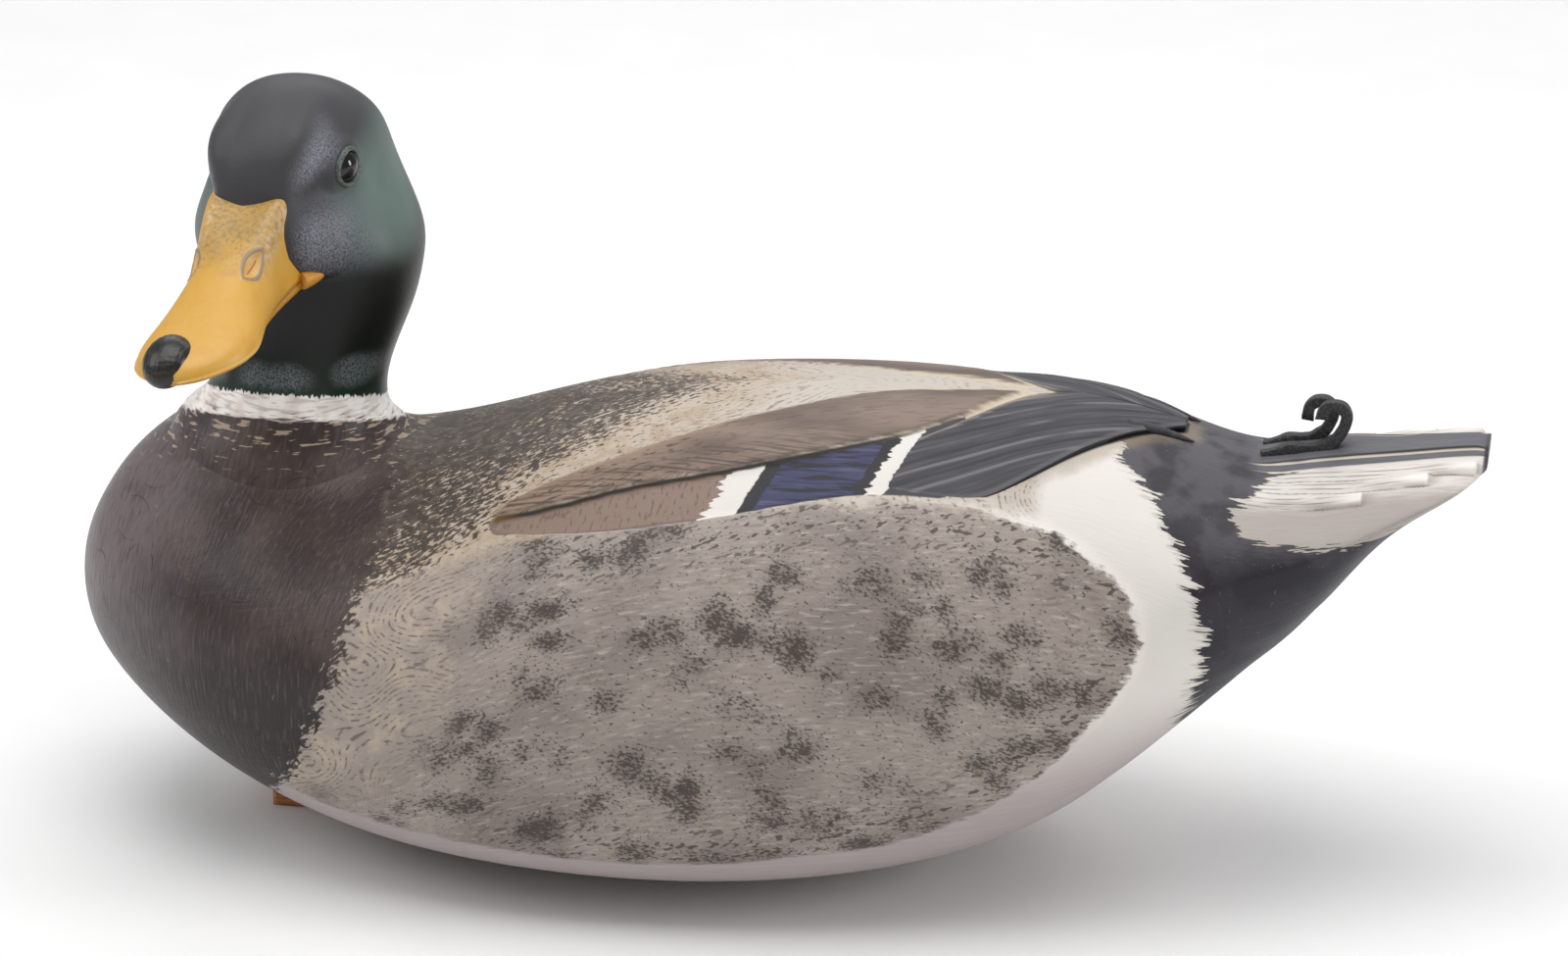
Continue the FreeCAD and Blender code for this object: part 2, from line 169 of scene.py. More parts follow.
TAIL_WHITE = [
    (193, -11, 122), (188, -20, 120), (183, -28, 117), (184, -32, 115), (187, -35, 113), (197, -38, 111),
    (208, -36, 111), (221, -32, 112), (233, -26, 114), (243, -19, 118.5), (252, -11, 123), (252, -5, 130),
    (220, -5, 129),
]
MANTLE_CREAM = [     # pale stripe down the back, ending in the V of the tertials
    (10, -36, 121), (32, -29, 128), (48, -22, 131), (66, -15, 135), (84, -8, 138), (105, -4, 138),
    (128, 0, 137), (60, 0, 136), (36, 0, 133), (24, -16, 130),
]

# Landmark heights of the neck ring: a plane that rises towards the left side.
RING_Z, RING_TILT, RING_HEIGHT = 117.8, 0.27, 7.2


# ---- curves, maps and meshes -----------------------------------------------

def natural_spline(rows, count):
    """Smooth curve through the rows of a table, at count steps of its parameter."""
    rows = np.array(rows, float)
    last = len(rows) - 1
    gaps = np.sqrt(np.linalg.norm(np.diff(rows[:, :4], axis=0), axis=1))
    places = np.concatenate([[0], np.cumsum(gaps)])
    system = np.eye(last + 1)
    change = np.zeros(rows.shape)
    for i in range(1, last):
        before, after = gaps[i - 1], gaps[i]
        system[i, i - 1:i + 2] = before, 2 * (before + after), after
        change[i] = 6 * ((rows[i + 1] - rows[i]) / after - (rows[i] - rows[i - 1]) / before)
    bend = np.linalg.solve(system, change)
    at = np.linspace(0, places[-1], count)
    i = np.clip(np.searchsorted(places, at, side="right") - 1, 0, last - 1)
    b = ((at - places[i]) / gaps[i])[:, None]
    a = 1 - b
    curve = (a ** 3 - a) * bend[i] + (b ** 3 - b) * bend[i + 1]
    return a * rows[i] + b * rows[i + 1] + curve * gaps[i][:, None] ** 2 / 6


def even_rows(table, count):
    """Rows of a splined table at even distances along it."""
    rows = natural_spline(table, 4000)
    walked = np.concatenate([[0], np.cumsum(np.linalg.norm(np.diff(rows[:, :4], axis=0), axis=1))])
    at = np.linspace(0, walked[-1], count)
    return np.stack([np.interp(at, walked, column) for column in rows.T], axis=1)


def signed_power(value, power):
    """Power that keeps the sign."""
    return np.sign(value) * np.abs(value) ** power


def smooth(value, low, high):
    """Smooth step from 0 at low to 1 at high."""
    share = np.clip((value - low) / (high - low), 0, 1)
    return share * share * (3 - 2 * share)


def hill(value, middle, width):
    """Bell curve: 1 at the middle, falling away over a width."""
    return np.exp(-((value - middle) / width) ** 2)


HULL_FINE = natural_spline(HULL, 1200)


def hull_row(x):
    """The hull table's values at any x."""
    return np.array([np.interp(x, HULL_FINE[:, 0], column) for column in HULL_FINE.T])


def half_section(row, steps=721):
    """Sideways, height and girth distance from the back's middle down to the keel."""
    half_width, top, bottom, widest, round_top, round_bottom = row[1:7]
    angle = np.linspace(0, math.pi, steps)
    upward = np.cos(angle)
    power = np.where(upward >= 0, 2 / round_top, 2 / round_bottom)
    sideways = half_width * np.abs(np.sin(angle)) ** power
    height = widest + np.where(upward >= 0, top - widest, widest - bottom) * signed_power(upward, power)
    girth = np.concatenate([[0], np.cumsum(np.hypot(np.diff(sideways), np.diff(height)))])
    return sideways, height, girth


def on_map(landmark):
    """Place of a landmark on the hull's flat map: x, girth distance from the back's middle."""
    x, y, z = landmark
    sideways, height, girth = half_section(hull_row(x))
    nearest = np.argmin(np.hypot(sideways - abs(y), height - z))
    return x, girth[nearest]


def rounded(outline, times):
    """Closed outline with its corners cut off, once or more."""
    points = np.array(outline, float)
    for _ in range(times):
        after = np.roll(points, -1, axis=0)
        points = np.stack([0.75 * points + 0.25 * after, 0.25 * points + 0.75 * after], axis=1).reshape(-1, 2)
    return points


def inside_distance(places, outline):
    """Signed distance of map places to a closed outline: positive inside."""
    flat = places.reshape(-1, 2)
    nearest = np.full(len(flat), 1e9)
    inside = np.zeros(len(flat), bool)
    for a, b in zip(outline, np.roll(outline, -1, axis=0)):
        along = b - a
        share = np.clip((flat - a) @ along / max(along @ along, 1e-9), 0, 1)
        nearest = np.minimum(nearest, np.linalg.norm(flat - a - share[:, None] * along, axis=1))
        crosses = (a[1] > flat[:, 1]) != (b[1] > flat[:, 1])
        slope = along[0] / (along[1] if abs(along[1]) > 1e-9 else 1e-9)
        inside ^= crosses & (flat[:, 0] < a[0] + (flat[:, 1] - a[1]) * slope)
    return np.where(inside, nearest, -nearest).reshape(places.shape[:-1])


def head_axes():
    yaw, pitch, roll = np.radians((HEAD_YAW, HEAD_PITCH, HEAD_ROLL))
    level_forward = np.array((-math.cos(yaw), -math.sin(yaw), 0))
    level_left = np.array((math.sin(yaw), -math.cos(yaw), 0))
    upright = np.array((0, 0, 1))
    forward = level_forward * math.cos(pitch) - upright * math.sin(pitch)
    nodded_up = level_forward * math.sin(pitch) + upright * math.cos(pitch)
    left = level_left * math.cos(roll) + nodded_up * math.sin(roll)
    up = nodded_up * math.cos(roll) - level_left * math.sin(roll)
    return level_forward, level_left, np.stack([forward, left, up])


LEVEL_FORWARD, LEVEL_LEFT, HEAD_AXES = head_axes()


def head_point(local):
    """Frame point of head coordinates: forward, left and up of the eyes' middle."""
    return EYE_MID + np.asarray(local, float) @ HEAD_AXES


def head_coordinates(points):
    return (points - EYE_MID) @ HEAD_AXES.T


def outward_normals(points, middle):
    """Unit normals of a grid whose rows are closed, pointing away from each row's middle."""
    across = np.roll(points, -1, axis=1) - np.roll(points, 1, axis=1)
    normals = np.cross(across, np.gradient(points, axis=0))
    normals /= np.maximum(np.linalg.norm(normals, axis=2, keepdims=True), 1e-9)
    return normals * np.sign((normals * (points - middle)).sum(axis=-1, keepdims=True) + 1e-9)


def stack(*columns):
    return np.stack(columns, axis=-1)


def grid_quads(shape):
    """Faces between the rows of a grid whose rows are closed, and its vertex numbers."""
    index = np.arange(shape[0] * shape[1]).reshape(shape[:2])
    after = np.roll(index, -1, axis=1)
    return stack(index[:-1], after[:-1], after[1:], index[1:]).reshape(-1, 4).tolist(), index, after


def new_object(name, data):
    obj = bpy.data.objects.new(name, data)
    bpy.context.scene.collection.objects.link(obj)
    return obj


def grid_object(name, points, fields=None, flip=False):
    """Closed tube of grid rows with a capped start and end; fields are per-vertex values."""
    caps = np.stack([points[0].mean(axis=0), points[-1].mean(axis=0)])
    vertices = np.concatenate([points.reshape(-1, 3), caps]) * MM
    quads, index, after = grid_quads(points.shape)
    first, last = index.size, index.size + 1
    ends = [(first, b, a) for a, b in zip(index[0].tolist(), after[0].tolist())]
    ends += [(last, a, b) for a, b in zip(index[-1].tolist(), after[-1].tolist())]
    faces = quads + ends
    if flip:
        faces = [face[::-1] for face in faces]
    mesh = bpy.data.meshes.new(name)
    mesh.from_pydata(vertices.tolist(), [], faces)
    for field, values in (fields or {}).items():
        values = np.asarray(values, float)
        if values.ndim == 2:
            values = stack(values, values * 0, values * 0)
        tips = np.stack([values[0].mean(axis=0), values[-1].mean(axis=0)])
        attribute = mesh.attributes.new(field, "FLOAT_VECTOR", "POINT")
        attribute.data.foreach_set("vector", np.concatenate([values.reshape(-1, 3), tips]).ravel())
    mesh.shade_smooth()
    return new_object(name, mesh)


def join(main, others):
    """Merge loose shells of one carved piece into one object."""
    bpy.ops.object.select_all(action="DESELECT")
    for obj in [main] + others:
        obj.select_set(True)
    bpy.context.view_layer.objects.active = main
    bpy.ops.object.join()
    return main


def tube(name, points, radii, around=20, closed=False, fields=None):
    """Round bar along points, with its radius at each."""
    points = np.array(points, float)
    if closed:
        tangent = np.roll(points, -1, axis=0) - np.roll(points, 1, axis=0)
    else:
        tangent = np.gradient(points, axis=0)
    tangent /= np.linalg.norm(tangent, axis=1, keepdims=True)
    angle = np.linspace(0, 2 * math.pi, around, endpoint=False)
    side = np.cross(tangent[0], (0.31, 0.17, 0.93))
    grid = []
    for place, along, radius in zip(points, tangent, radii):
        side = side - along * (side @ along)
        side /= np.linalg.norm(side)
        other = np.cross(along, side)
        grid.append(place + radius * (np.cos(angle)[:, None] * side + np.sin(angle)[:, None] * other))
    if closed:
        grid.append(grid[0])
    return grid_object(name, np.array(grid), fields, flip=True)


# ---- node language ---------------------------------------------------------

def add_node(tree, kind, inputs, output=0, **settings):
    """Add a node, set it up, and return the value at one of its outputs."""
    node = tree.nodes.new("ShaderNode" + kind)
    for setting, value in settings.items():
        setattr(node, setting, value)
    for key, item in inputs.items():
        if isinstance(item, Value):
            tree.links.new(item.socket, node.inputs[key])
        else:
            node.inputs[key].default_value = item
    return Value(tree, node.outputs[output])


class Value:
    """A number, vector or colour that flows through a material's nodes."""

    def __init__(self, tree, socket):
        self.tree, self.socket = tree, socket

    def math(self, operation, *others):
        return add_node(self.tree, "Math", dict(enumerate((self, *others))), operation=operation)

    def __add__(self, other):
        return self.math("ADD", other)

    def __sub__(self, other):
        return self.math("SUBTRACT", other)

    def __mul__(self, other):
        return self.math("MULTIPLY", other)

    def squared(self):
        return self.math("POWER", 2.0)

    def size(self):
        return self.math("ABSOLUTE")

    def wave(self):
        return self.math("SINE")

    def rest(self):
        """What is missing to 1."""
        return self * -1 + 1

    def rise(self, low, high):
        """Smooth step: 0 at low, 1 at high; low may be the larger one."""
        return add_node(self.tree, "MapRange", {0: self, 1: low, 2: high}, interpolation_type="SMOOTHSTEP")

    def parts(self):
        node = self.tree.nodes.new("ShaderNodeSeparateXYZ")
        self.tree.links.new(self.socket, node.inputs[0])
        return [Value(self.tree, socket) for socket in node.outputs]

    def stretched(self, factors, turn=0.0):
        """Vector turned in its first two directions, then scaled."""
        inputs = {"Vector": self, "Angle": math.radians(turn)}
        turned = add_node(self.tree, "VectorRotate", inputs, rotation_type="Z_AXIS")
        return add_node(self.tree, "VectorMath", {0: turned, 1: factors}, operation="MULTIPLY")

    def noise(self, size, stretch=(1, 1, 1), turn=0.0, detail=2.0, rough=0.5, warp=0.0):
        """Cloud noise about 0.5, with features of size millimetres along unstretched directions."""
        inputs = {"Vector": self.stretched(stretch, turn), "Scale": 1 / size,
                  "Detail": detail, "Roughness": rough, "Distortion": warp}
        return add_node(self.tree, "TexNoise", inputs, "Fac")

    def cells(self, size, stretch):
        """Distance to the nearest of scattered points, 0 to about 1."""
        inputs = {"Vector": self.stretched(stretch), "Scale": 1 / size}
        return add_node(self.tree, "TexVoronoi", inputs, "Distance")


def mix(under, over, share):
    """Colour with another laid over it by a share from 0 to 1."""
    return add_node(share.tree, "Mix", {0: share, 6: under, 7: over}, 2, data_type="RGBA")


def srgb(red, green, blue):
    """Linear colour of 0 to 255 display values."""
    linear = []
    for part in (red, green, blue):
        share = part / 255
        linear.append(share / 12.92 if share <= 0.04045 else ((share + 0.055) / 1.055) ** 2.4)
    return (*linear, 1.0)


class Paint:
    """One material: its place and fields to paint by, and its finish."""

    def __init__(self, name, roughness=0.5, **finish):
        self.material = bpy.data.materials.new(name)
        self.material.use_nodes = True
        self.tree = self.material.node_tree
        self.shader = self.tree.nodes["Principled BSDF"]
        self.shader.inputs["Roughness"].default_value = roughness
        for key, value in finish.items():
            self.shader.inputs[key.replace("_", " ")].default_value = value
        self.place = add_node(self.tree, "TexCoord", {}, "Object").stretched((1000, 1000, 1000))

    def field(self, name):
        return add_node(self.tree, "Attribute", {}, "Vector", attribute_name=name)

    def finish(self, colour, height=None, depth=0.2, roughness=None):
        """Connect colour, bump height of depth millimetres, and roughness."""
        self.tree.links.new(colour.socket, self.shader.inputs["Base Color"])
        if roughness is not None:
            self.tree.links.new(roughness.socket, self.shader.inputs["Roughness"])
        if height is not None:
            bump = add_node(self.tree, "Bump", {"Distance": depth * MM, "Height": height})
            self.tree.links.new(bump.socket, self.shader.inputs["Normal"])
        return self.material


# ---- colours ---------------------------------------------------------------

CREAM = srgb(187, 180, 171)
WHITE = srgb(222, 217, 211)
FLANK = srgb(160, 149, 141)
FLANK_SHADE = srgb(137, 126, 120)
BELLY = srgb(172, 161, 160)
STIPPLE = srgb(62, 54, 50)
TAN = srgb(176, 158, 138)
BREAST = srgb(84, 72, 69)
BREAST_DARK = srgb(60, 51, 50)
MANTLE = srgb(70, 62, 57)
SCAPULAR_BROWN = srgb(98, 84, 77)
SCAPULAR_DARK = srgb(66, 57, 53)
SCAPULAR_TAN = srgb(150, 126, 108)
STRIP_PINK = srgb(136, 116, 104)
BLACK = srgb(40, 38, 43)
CHARCOAL = srgb(62, 61, 67)
SPECULUM_BLUE = srgb(58, 60, 92)
HEAD_DARK = srgb(12, 16, 15)
HEAD_CROWN_AND_SHEEN = srgb(66, 66, 69)
HEAD_GREEN_AND_SHEEN = srgb(102, 119, 113)
HEAD_SHEEN = srgb(152, 152, 166)
NECK_GREEN = srgb(16, 40, 26)
BILL_YELLOW = srgb(203, 151, 46)
BILL_PALE = srgb(211, 172, 98)
BILL_ORANGE = srgb(195, 128, 32)
BILL_SPECKLE = srgb(112, 106, 84)
OCHRE = srgb(150, 132, 108)


# ---- hull ------------------------------------------------------------------

def blade_edge(x, outer):
    """Outer edge of the folded primaries, drawn in towards their tip."""
    return outer * (1 - 0.12 * smooth(np.array(x), 118, 155))


def map_outlines():
    """Closed outlines of the painted regions on the hull's flat map."""
    back, keel, far_ahead, far_behind = -30.0, 400.0, -300, 400
    areas = {"scapular": (SCAPULAR, 1), "wing": (WING_EDGE, 1), "pocket": (SIDE_POCKET, 2),
             "cream": (MANTLE_CREAM, 1), "tail": (TAIL_WHITE, 1)}
    outlines = {name: rounded([on_map(p) for p in edge], times) for name, (edge, times) in areas.items()}
    for name, edge, beyond in (("breast", BREAST_EDGE, far_ahead), ("rump", RUMP_EDGE, far_behind)):
        line = [on_map(p) for p in edge]
        outlines[name] = rounded([(beyond, back), (line[0][0], back)] + line
                                 + [(line[-1][0], keel), (beyond, keel)], 2)
    inner_side = [(x, inner + 4 - 6 * (x > 140)) for x, inner, *_ in WING_TIP]
    outer_side = [(x, 1.03 * blade_edge(x, outer)) for x, _, outer, *_ in reversed(WING_TIP)]
    outlines["blade"] = np.array(inner_side + outer_side)
    return outlines


def flank_patches(x, girth, random):
    """Uneven rows of soft dark smudges along the side, 0 to 1."""
    spots = np.zeros(x.shape)
    first_row, row_gap, first_spot, spot_gap = 72, 18, -64, 21
    for row in range(8):
        middle = first_row + row * row_gap
        for step in range(12):
            at_x = first_spot + step * spot_gap + (row % 2) * spot_gap / 2 + random.uniform(-7, 7)
            at_girth = middle + random.uniform(-6, 6) - 0.0011 * (at_x - 40) ** 2
            strength = random.uniform(0.55, 1.0)
            for _ in range(3):
                blot_x, blot_girth = at_x + random.normal(0, 3.4), at_girth + random.normal(0, 2.6)
                wide, tall = random.uniform(3.5, 7), random.uniform(3, 5.5)
                blot = hill(x, blot_x, wide) * hill(girth, blot_girth, tall)
                spots = np.maximum(spots, strength * random.uniform(0.6, 1) * blot)
    return spots


def scattered_dents(x, girth, random, count, spread_x, spread_girth, size, depth):
    """Shallow tool marks at random places, up to a depth."""
    dents = np.zeros(x.shape)
    for _ in range(count):
        at_x, at_girth = random.uniform(*spread_x), random.uniform(*spread_girth)
        radius = random.uniform(*size)
        dent = hill(x, at_x, radius) * hill(girth, at_girth, radius)
        dents -= depth * random.uniform(0.4, 1) * dent
    return dents


TAIL_FEATHERS = [    # girth of the outer edge at the root and tip, x of the stepped end
    (16, 20.5, 246.5), (21, 25, 234), (27, 31, 217),
]
TAIL_NARROWS = 3.4          # how much the dark middle narrows from root to tip
TAIL_ROOT, TAIL_RUN = 190, 50
TAIL_THINNING = 0.3         # share of the section that the tail's end loses from below


def tail_relief(x, girth):
    """Raised middle feathers and the stepped ends of the outer ones."""
    on_tail = smooth(x, 186, 196)
    girth = girth + TAIL_NARROWS * smooth(x, 200, 246)
    middle = 1.0 * smooth(girth, 9.2, 8.2) + 0.6 * smooth(girth, 12.4, 11.4)
    steps = np.zeros(x.shape)
    for root, tip, end in TAIL_FEATHERS:
        edge = root + (tip - root) * np.clip((x - TAIL_ROOT) / TAIL_RUN, 0, 1)
        fold = hill(girth, edge, 0.6)
        steps -= 0.4 * fold * smooth(x, end + 1, end - 1)
        pad = smooth(girth, edge - 6, edge - 4) * smooth(girth, edge + 0.5, edge - 1.2)
        steps += 1.3 * pad * smooth(x, end - 24, end - 2) * smooth(x, end + 0.8, end - 0.5)
    return on_tail * (middle + steps)


def surface_tree(points):
    """Search tree of a closed grid's surface."""
    return BVHTree.FromPolygons(points.reshape(-1, 3).tolist(), grid_quads(points.shape)[0])


NECK_REACH = (12, 32)       # reach of the soft hollow behind the neck and in front of it
NECK_FRONT = (-70, -112)    # x over which the one passes into the other


def blend_towards(points, normals, other, near):
    """Swell a surface where it comes near another, so that both meet in one soft hollow.

    Both surfaces rise by a quarter of the reach at their crossing: the smooth union
    of two bodies. The reach is wide in front of the neck and short behind it.
    """
    swollen = points.copy()
    for i, j in zip(*np.nonzero(near)):
        point = points[i, j]
        reach = NECK_REACH[0] + (NECK_REACH[1] - NECK_REACH[0]) * smooth(point[0], *NECK_FRONT)
        gap = other.find_nearest(point.tolist(), reach)[3]
        if gap is not None:
            swollen[i, j] += normals[i, j] * (reach - gap) ** 2 / (4 * reach)
    return swollen


def mirrored(values, sign):
    """One side's values from back to keel, followed by the other side's on the way back up."""
    return np.concatenate([values, sign * values[1:-1][::-1]])


def hull_grid():
    """Plain hull as a grid, and each point's girth distance from the back's middle."""
    points, girths = [], []
    for row in even_rows(HULL, HULL_STATIONS):
        sideways, height, girth = half_section(row)
        at = np.linspace(0, 1, HULL_COLUMNS + 1) * girth[-1]
        y, z = np.interp(at, girth, sideways), np.interp(at, girth, height)
        points.append(stack(np.full(2 * HULL_COLUMNS, row[0]), mirrored(y, -1), mirrored(z, 1)))
        girths.append(mirrored(at, -1))
    return np.array(points), np.array(girths)


def hull_pieces():
    """Both hull halves as carved: relief of the feather groups and the paint's map."""
    points, girths = hull_grid()
    x, reach = points[..., 0], np.abs(girths)
    places = stack(x, reach)
    near = {name: inside_distance(places, outline) for name, outline in map_outlines().items()}
    random = np.random.default_rng(SEED)
    left_spots = flank_patches(x, reach, random)
    right_spots = flank_patches(x, reach, random)
    spots = np.where(girths < 0, left_spots, right_spots)

    relief = 1.1 * smooth(near["pocket"], -0.4, 2.6) * smooth(reach, 150, 110) * smooth(x, -40, 10)
    relief += 0.7 * smooth(near["scapular"], -0.3, 1.2)
    relief -= 0.8 * smooth(near["wing"], -0.2, 1.0) * smooth(x, 96, 66)
    relief += tail_relief(x, reach)
    relief += scattered_dents(x, girths, random, 46, (160, 225), (-110, 110), (4, 9), 0.45)
    relief += scattered_dents(x, girths, random, 60, (70, 165), (-185, 185), (2, 6), 0.16)
    relief *= smooth(x, 249.5, 246) * 0.6 + 0.4
    normals = outward_normals(points, points.mean(axis=1, keepdims=True))
    carved = points + normals * relief[..., None]
    thinner = TAIL_THINNING * np.clip((x - 195) / 54, 0, 1) ** 2
    carved[..., 2] += thinner * (points[..., 2].max(axis=1, keepdims=True) - points[..., 2])
    by_neck = (np.abs(x + 85) < 62) & (points[..., 2] > 84)
    carved = blend_towards(carved, normals, surface_tree(plain_head()[0]), by_neck)

    fields = {
        "girth_map": stack(x, reach, 3 * np.sign(girths)),
        "wing_near": stack(near["scapular"], near["wing"], near["pocket"]),
        "body_near": stack(near["breast"], near["rump"], near["tail"]),
        "cream_near": stack(near["cream"], near["blade"], spots),
    }
    whole = grid_object("hull_whole", carved, fields)
    pieces = []
    for name, keeps_top in (("body_upper_carved", True), ("body_lower_carved", False)):
        shape = bmesh.new()
        shape.from_mesh(whole.data)
        bmesh.ops.bisect_plane(shape, geom=shape.verts[:] + shape.edges[:] + shape.faces[:],
                               plane_co=(0, 0, SEAM_Z * MM), plane_no=(0, 0, 1),
                               clear_inner=keeps_top, clear_outer=not keeps_top)
        rim = [edge for edge in shape.edges if edge.is_boundary]
        for edge in rim:
            edge.smooth = False
        bmesh.ops.holes_fill(shape, edges=rim)
        mesh = bpy.data.meshes.new(name)
        shape.to_mesh(mesh)
        shape.free()
        pieces.append(new_object(name, mesh))
    bpy.data.objects.remove(whole)
    return pieces


# ---- hull paint ------------------------------------------------------------

def ring_height(paint):
    """Height above the neck ring's lower edge, far below zero away from the neck."""
    x, y, z = paint.place.parts()
    return z + y * RING_TILT - RING_Z - x.rise(-50, -40) * 60


def breast_paint(paint):
    """Dark brown-purple breast with combed strokes, faint scallops and pale flecks, painted shade towards the
    bottom and a painted sheen at the front.
    """
    cloud = paint.place.noise(22, detail=2)
    comb = paint.place.noise(0.8, (1.0, 0.3, 0.14), turn=25, detail=2)
    # Painted shade: the breast is laid on darker towards the bottom, down to near black.
    painted_shade_below = paint.place.parts()[2].rise(84, 34)
    colour = mix(BREAST, BREAST_DARK, (cloud.rise(0.65, 0.3) + painted_shade_below).math("MINIMUM", 1.0))
    colour = mix(colour, srgb(30, 24, 24), painted_shade_below * 0.8)
    # Painted sheen: a paler mauve-grey tone laid over the front of the breast, in place of a reflection.
    painted_sheen_front = paint.place.parts()[0].rise(-96, -126) * painted_shade_below.rest()
    colour = mix(colour, srgb(132, 121, 126), painted_sheen_front * (cloud * 0.6 + comb * 0.8) * 0.6)
    colour = mix(colour, srgb(104, 93, 96), comb.rise(0.5, 0.8) * 0.5)
    colour = mix(colour, srgb(48, 40, 40), comb.rise(0.5, 0.25) * 0.4)
    scale = paint.place.cells(14, (1, 0.9, 1.25))
    low_side = paint.place.noise(8).rise(0.50, 0.60)
    dark_arc = (scale - 0.55).size().rise(0.022, 0.006) * low_side
    colour = mix(colour, srgb(42, 37, 40), dark_arc * 0.5)
    fleck = paint.place.noise(1.5, (1, 0.6, 0.7), detail=3).rise(0.64, 0.72)
    fleck = fleck * paint.place.noise(11).rise(0.54, 0.66)
    return mix(colour, srgb(150, 130, 108), fleck * 0.6)


def ring_paint(paint, below):
    """White neck ring over the brown, and dark green above it."""
    height = ring_height(paint)
    hair = paint.place.noise(0.9, (1, 1, 0.22), detail=2)
    dash = paint.place.noise(0.9, (0.16, 0.16, 1.0), detail=2)
    crowd = height.rise(-17, -1)
    colour = mix(below, TAN, (dash + crowd * 0.10).rise(0.66, 0.72) * height.rise(-18, -10) * 0.8)
    ring = mix(srgb(246, 242, 238), srgb(226, 219, 213), paint.place.noise(5).rise(0.4, 0.7))
    ring = mix(ring, srgb(190, 176, 168), dash.rise(0.5, 0.62) * 0.6)
    ring = mix(ring, srgb(110, 94, 86), dash.rise(0.62, 0.68) * height.rise(3.5, 0.5))
    colour = mix(colour, ring, (height + (dash - 0.5) * 3.5).rise(-0.5, 0.4))
    edge = height + (hair - 0.5) * 4
    return mix(colour, NECK_GREEN, edge.rise(RING_HEIGHT - 0.15, RING_HEIGHT + 0.25))


def flank_paint(at, spots, pocket):
    """Warm grey side: fine vermiculation, stippled smudges, dashes along the upper edge."""
    streak = at.noise(1.0, (0.2, 1, 1), turn=8, detail=3, warp=0.3)
    cloud = at.noise(26, (0.7, 1, 1))
    colour = mix(FLANK_SHADE, FLANK, cloud.rise(0.3, 0.6))
    colour = mix(colour, srgb(118, 106, 98), streak.rise(0.52, 0.72) * 0.5)
    colour = mix(colour, srgb(196, 187, 179), streak.rise(0.46, 0.3) * 0.45)
    stipple = at.noise(0.7, (0.6, 1, 1), turn=-14, detail=3, rough=0.6)
    ragged = spots + (at.noise(3.5, detail=3) - 0.5) * 0.6
    colour = mix(colour, srgb(92, 83, 79), ragged.rise(0.0, 0.9) * 0.6)
    dots = (stipple + ragged * 0.30).rise(0.60, 0.72)
    colour = mix(colour, STIPPLE, dots * 0.8)
    loose = (stipple + at.noise(9, detail=1) * 0.3).rise(0.78, 0.84)
    colour = mix(colour, STIPPLE, loose * 0.4)
    comma = at.noise(1.1, (0.42, 1, 1), turn=24, detail=1)
    lanes = (pocket * 1.25 + at.noise(12, detail=1) * 7).wave()
    upper = pocket.rise(24, 8) * pocket.rise(0.5, 2) * at.parts()[0].rise(-30, 0)
    marks = (comma + lanes * 0.07).rise(0.60, 0.66) * upper
    return mix(colour, srgb(66, 55, 48), marks * 0.8)


def swirl_paint(at, ground, ink, size=24, turn=0.0, crowd=230):
    """Hair-fine curved lines that swirl round one another, as on the shoulder."""
    contour = at.noise(size, (0.8, 1, 1), turn, detail=0.4)
    lines = (contour * crowd).wave()
    broken = at.noise(1.1, (0.6, 1, 1), turn, detail=2)
    return mix(ground, ink, lines.rise(0.1, 0.95) * broken.rise(0.42, 0.62) * 0.8)


def mantle_paint(at):
    """Upper back: dark, flecked with tan in front, pale with fine swirls behind."""
    x, reach, _ = at.parts()
    behind = x + reach * 1.2 - 40
    flecks = at.noise(1.0, (0.45, 1, 1), turn=24, detail=3, rough=0.6)
    patchy = at.noise(9, (0.6, 1, 1), turn=24, detail=3) - 0.5
    paleness = behind.rise(-75, 14) * 0.13 + behind.rise(-14, 20) * 0.15 + patchy * 0.30
    pale = mix(TAN, srgb(186, 172, 156), at.noise(6, detail=1).rise(0.4, 0.6))
    dark = mix(MANTLE, srgb(96, 86, 79), at.noise(3, detail=2).rise(0.4, 0.7))
    colour = mix(dark, pale, (flecks + paleness).rise(0.62, 0.70))
    ground = mix(pale, srgb(192, 181, 170), x.rise(20, 60))
    ground = mix(ground, srgb(116, 102, 92), flecks.rise(0.50, 0.64) * x.rise(70, 30) * 0.75)
    pattern = swirl_paint(at, ground, srgb(112, 100, 90), 26, 10, 210)
    return mix(colour, pattern, (behind + patchy * 40).rise(8, 34))


def scapular_paint(at, near, to_edge):
    """Long brown shoulder feathers with fine barbs, darker and hairier at the lower edge."""
    x = at.parts()[0]
    barbs = at.noise(0.8, (0.11, 1, 1), turn=12, detail=3)
    long_barbs = at.noise(1.0, (0.07, 1, 1), turn=-8, detail=2)
    colour = mix(SCAPULAR_BROWN, srgb(134, 117, 106), at.noise(14, (0.3, 1, 1)).rise(0.35, 0.65))
    colour = mix(colour, SCAPULAR_TAN, near.rise(12, 0) * x.rise(80, 10) * 0.8)
    colour = mix(colour, SCAPULAR_DARK, barbs.rise(0.50, 0.75) * 0.5)
    front = long_barbs.rise(0.47, 0.60) * to_edge.rise(-14, -2) * x.rise(110, 40)
    dash = at.noise(1.0, (0.3, 1, 1), turn=18, detail=2).rise(0.58, 0.64) * near.rise(16, 5) * x.rise(70, 20)
    colour = mix(colour, srgb(58, 50, 45), dash * 0.8)
    colour = mix(colour, srgb(50, 43, 39), front * 0.7)
    return mix(colour, srgb(62, 52, 46), to_edge.rise(-2.4, -0.6) * 0.7)


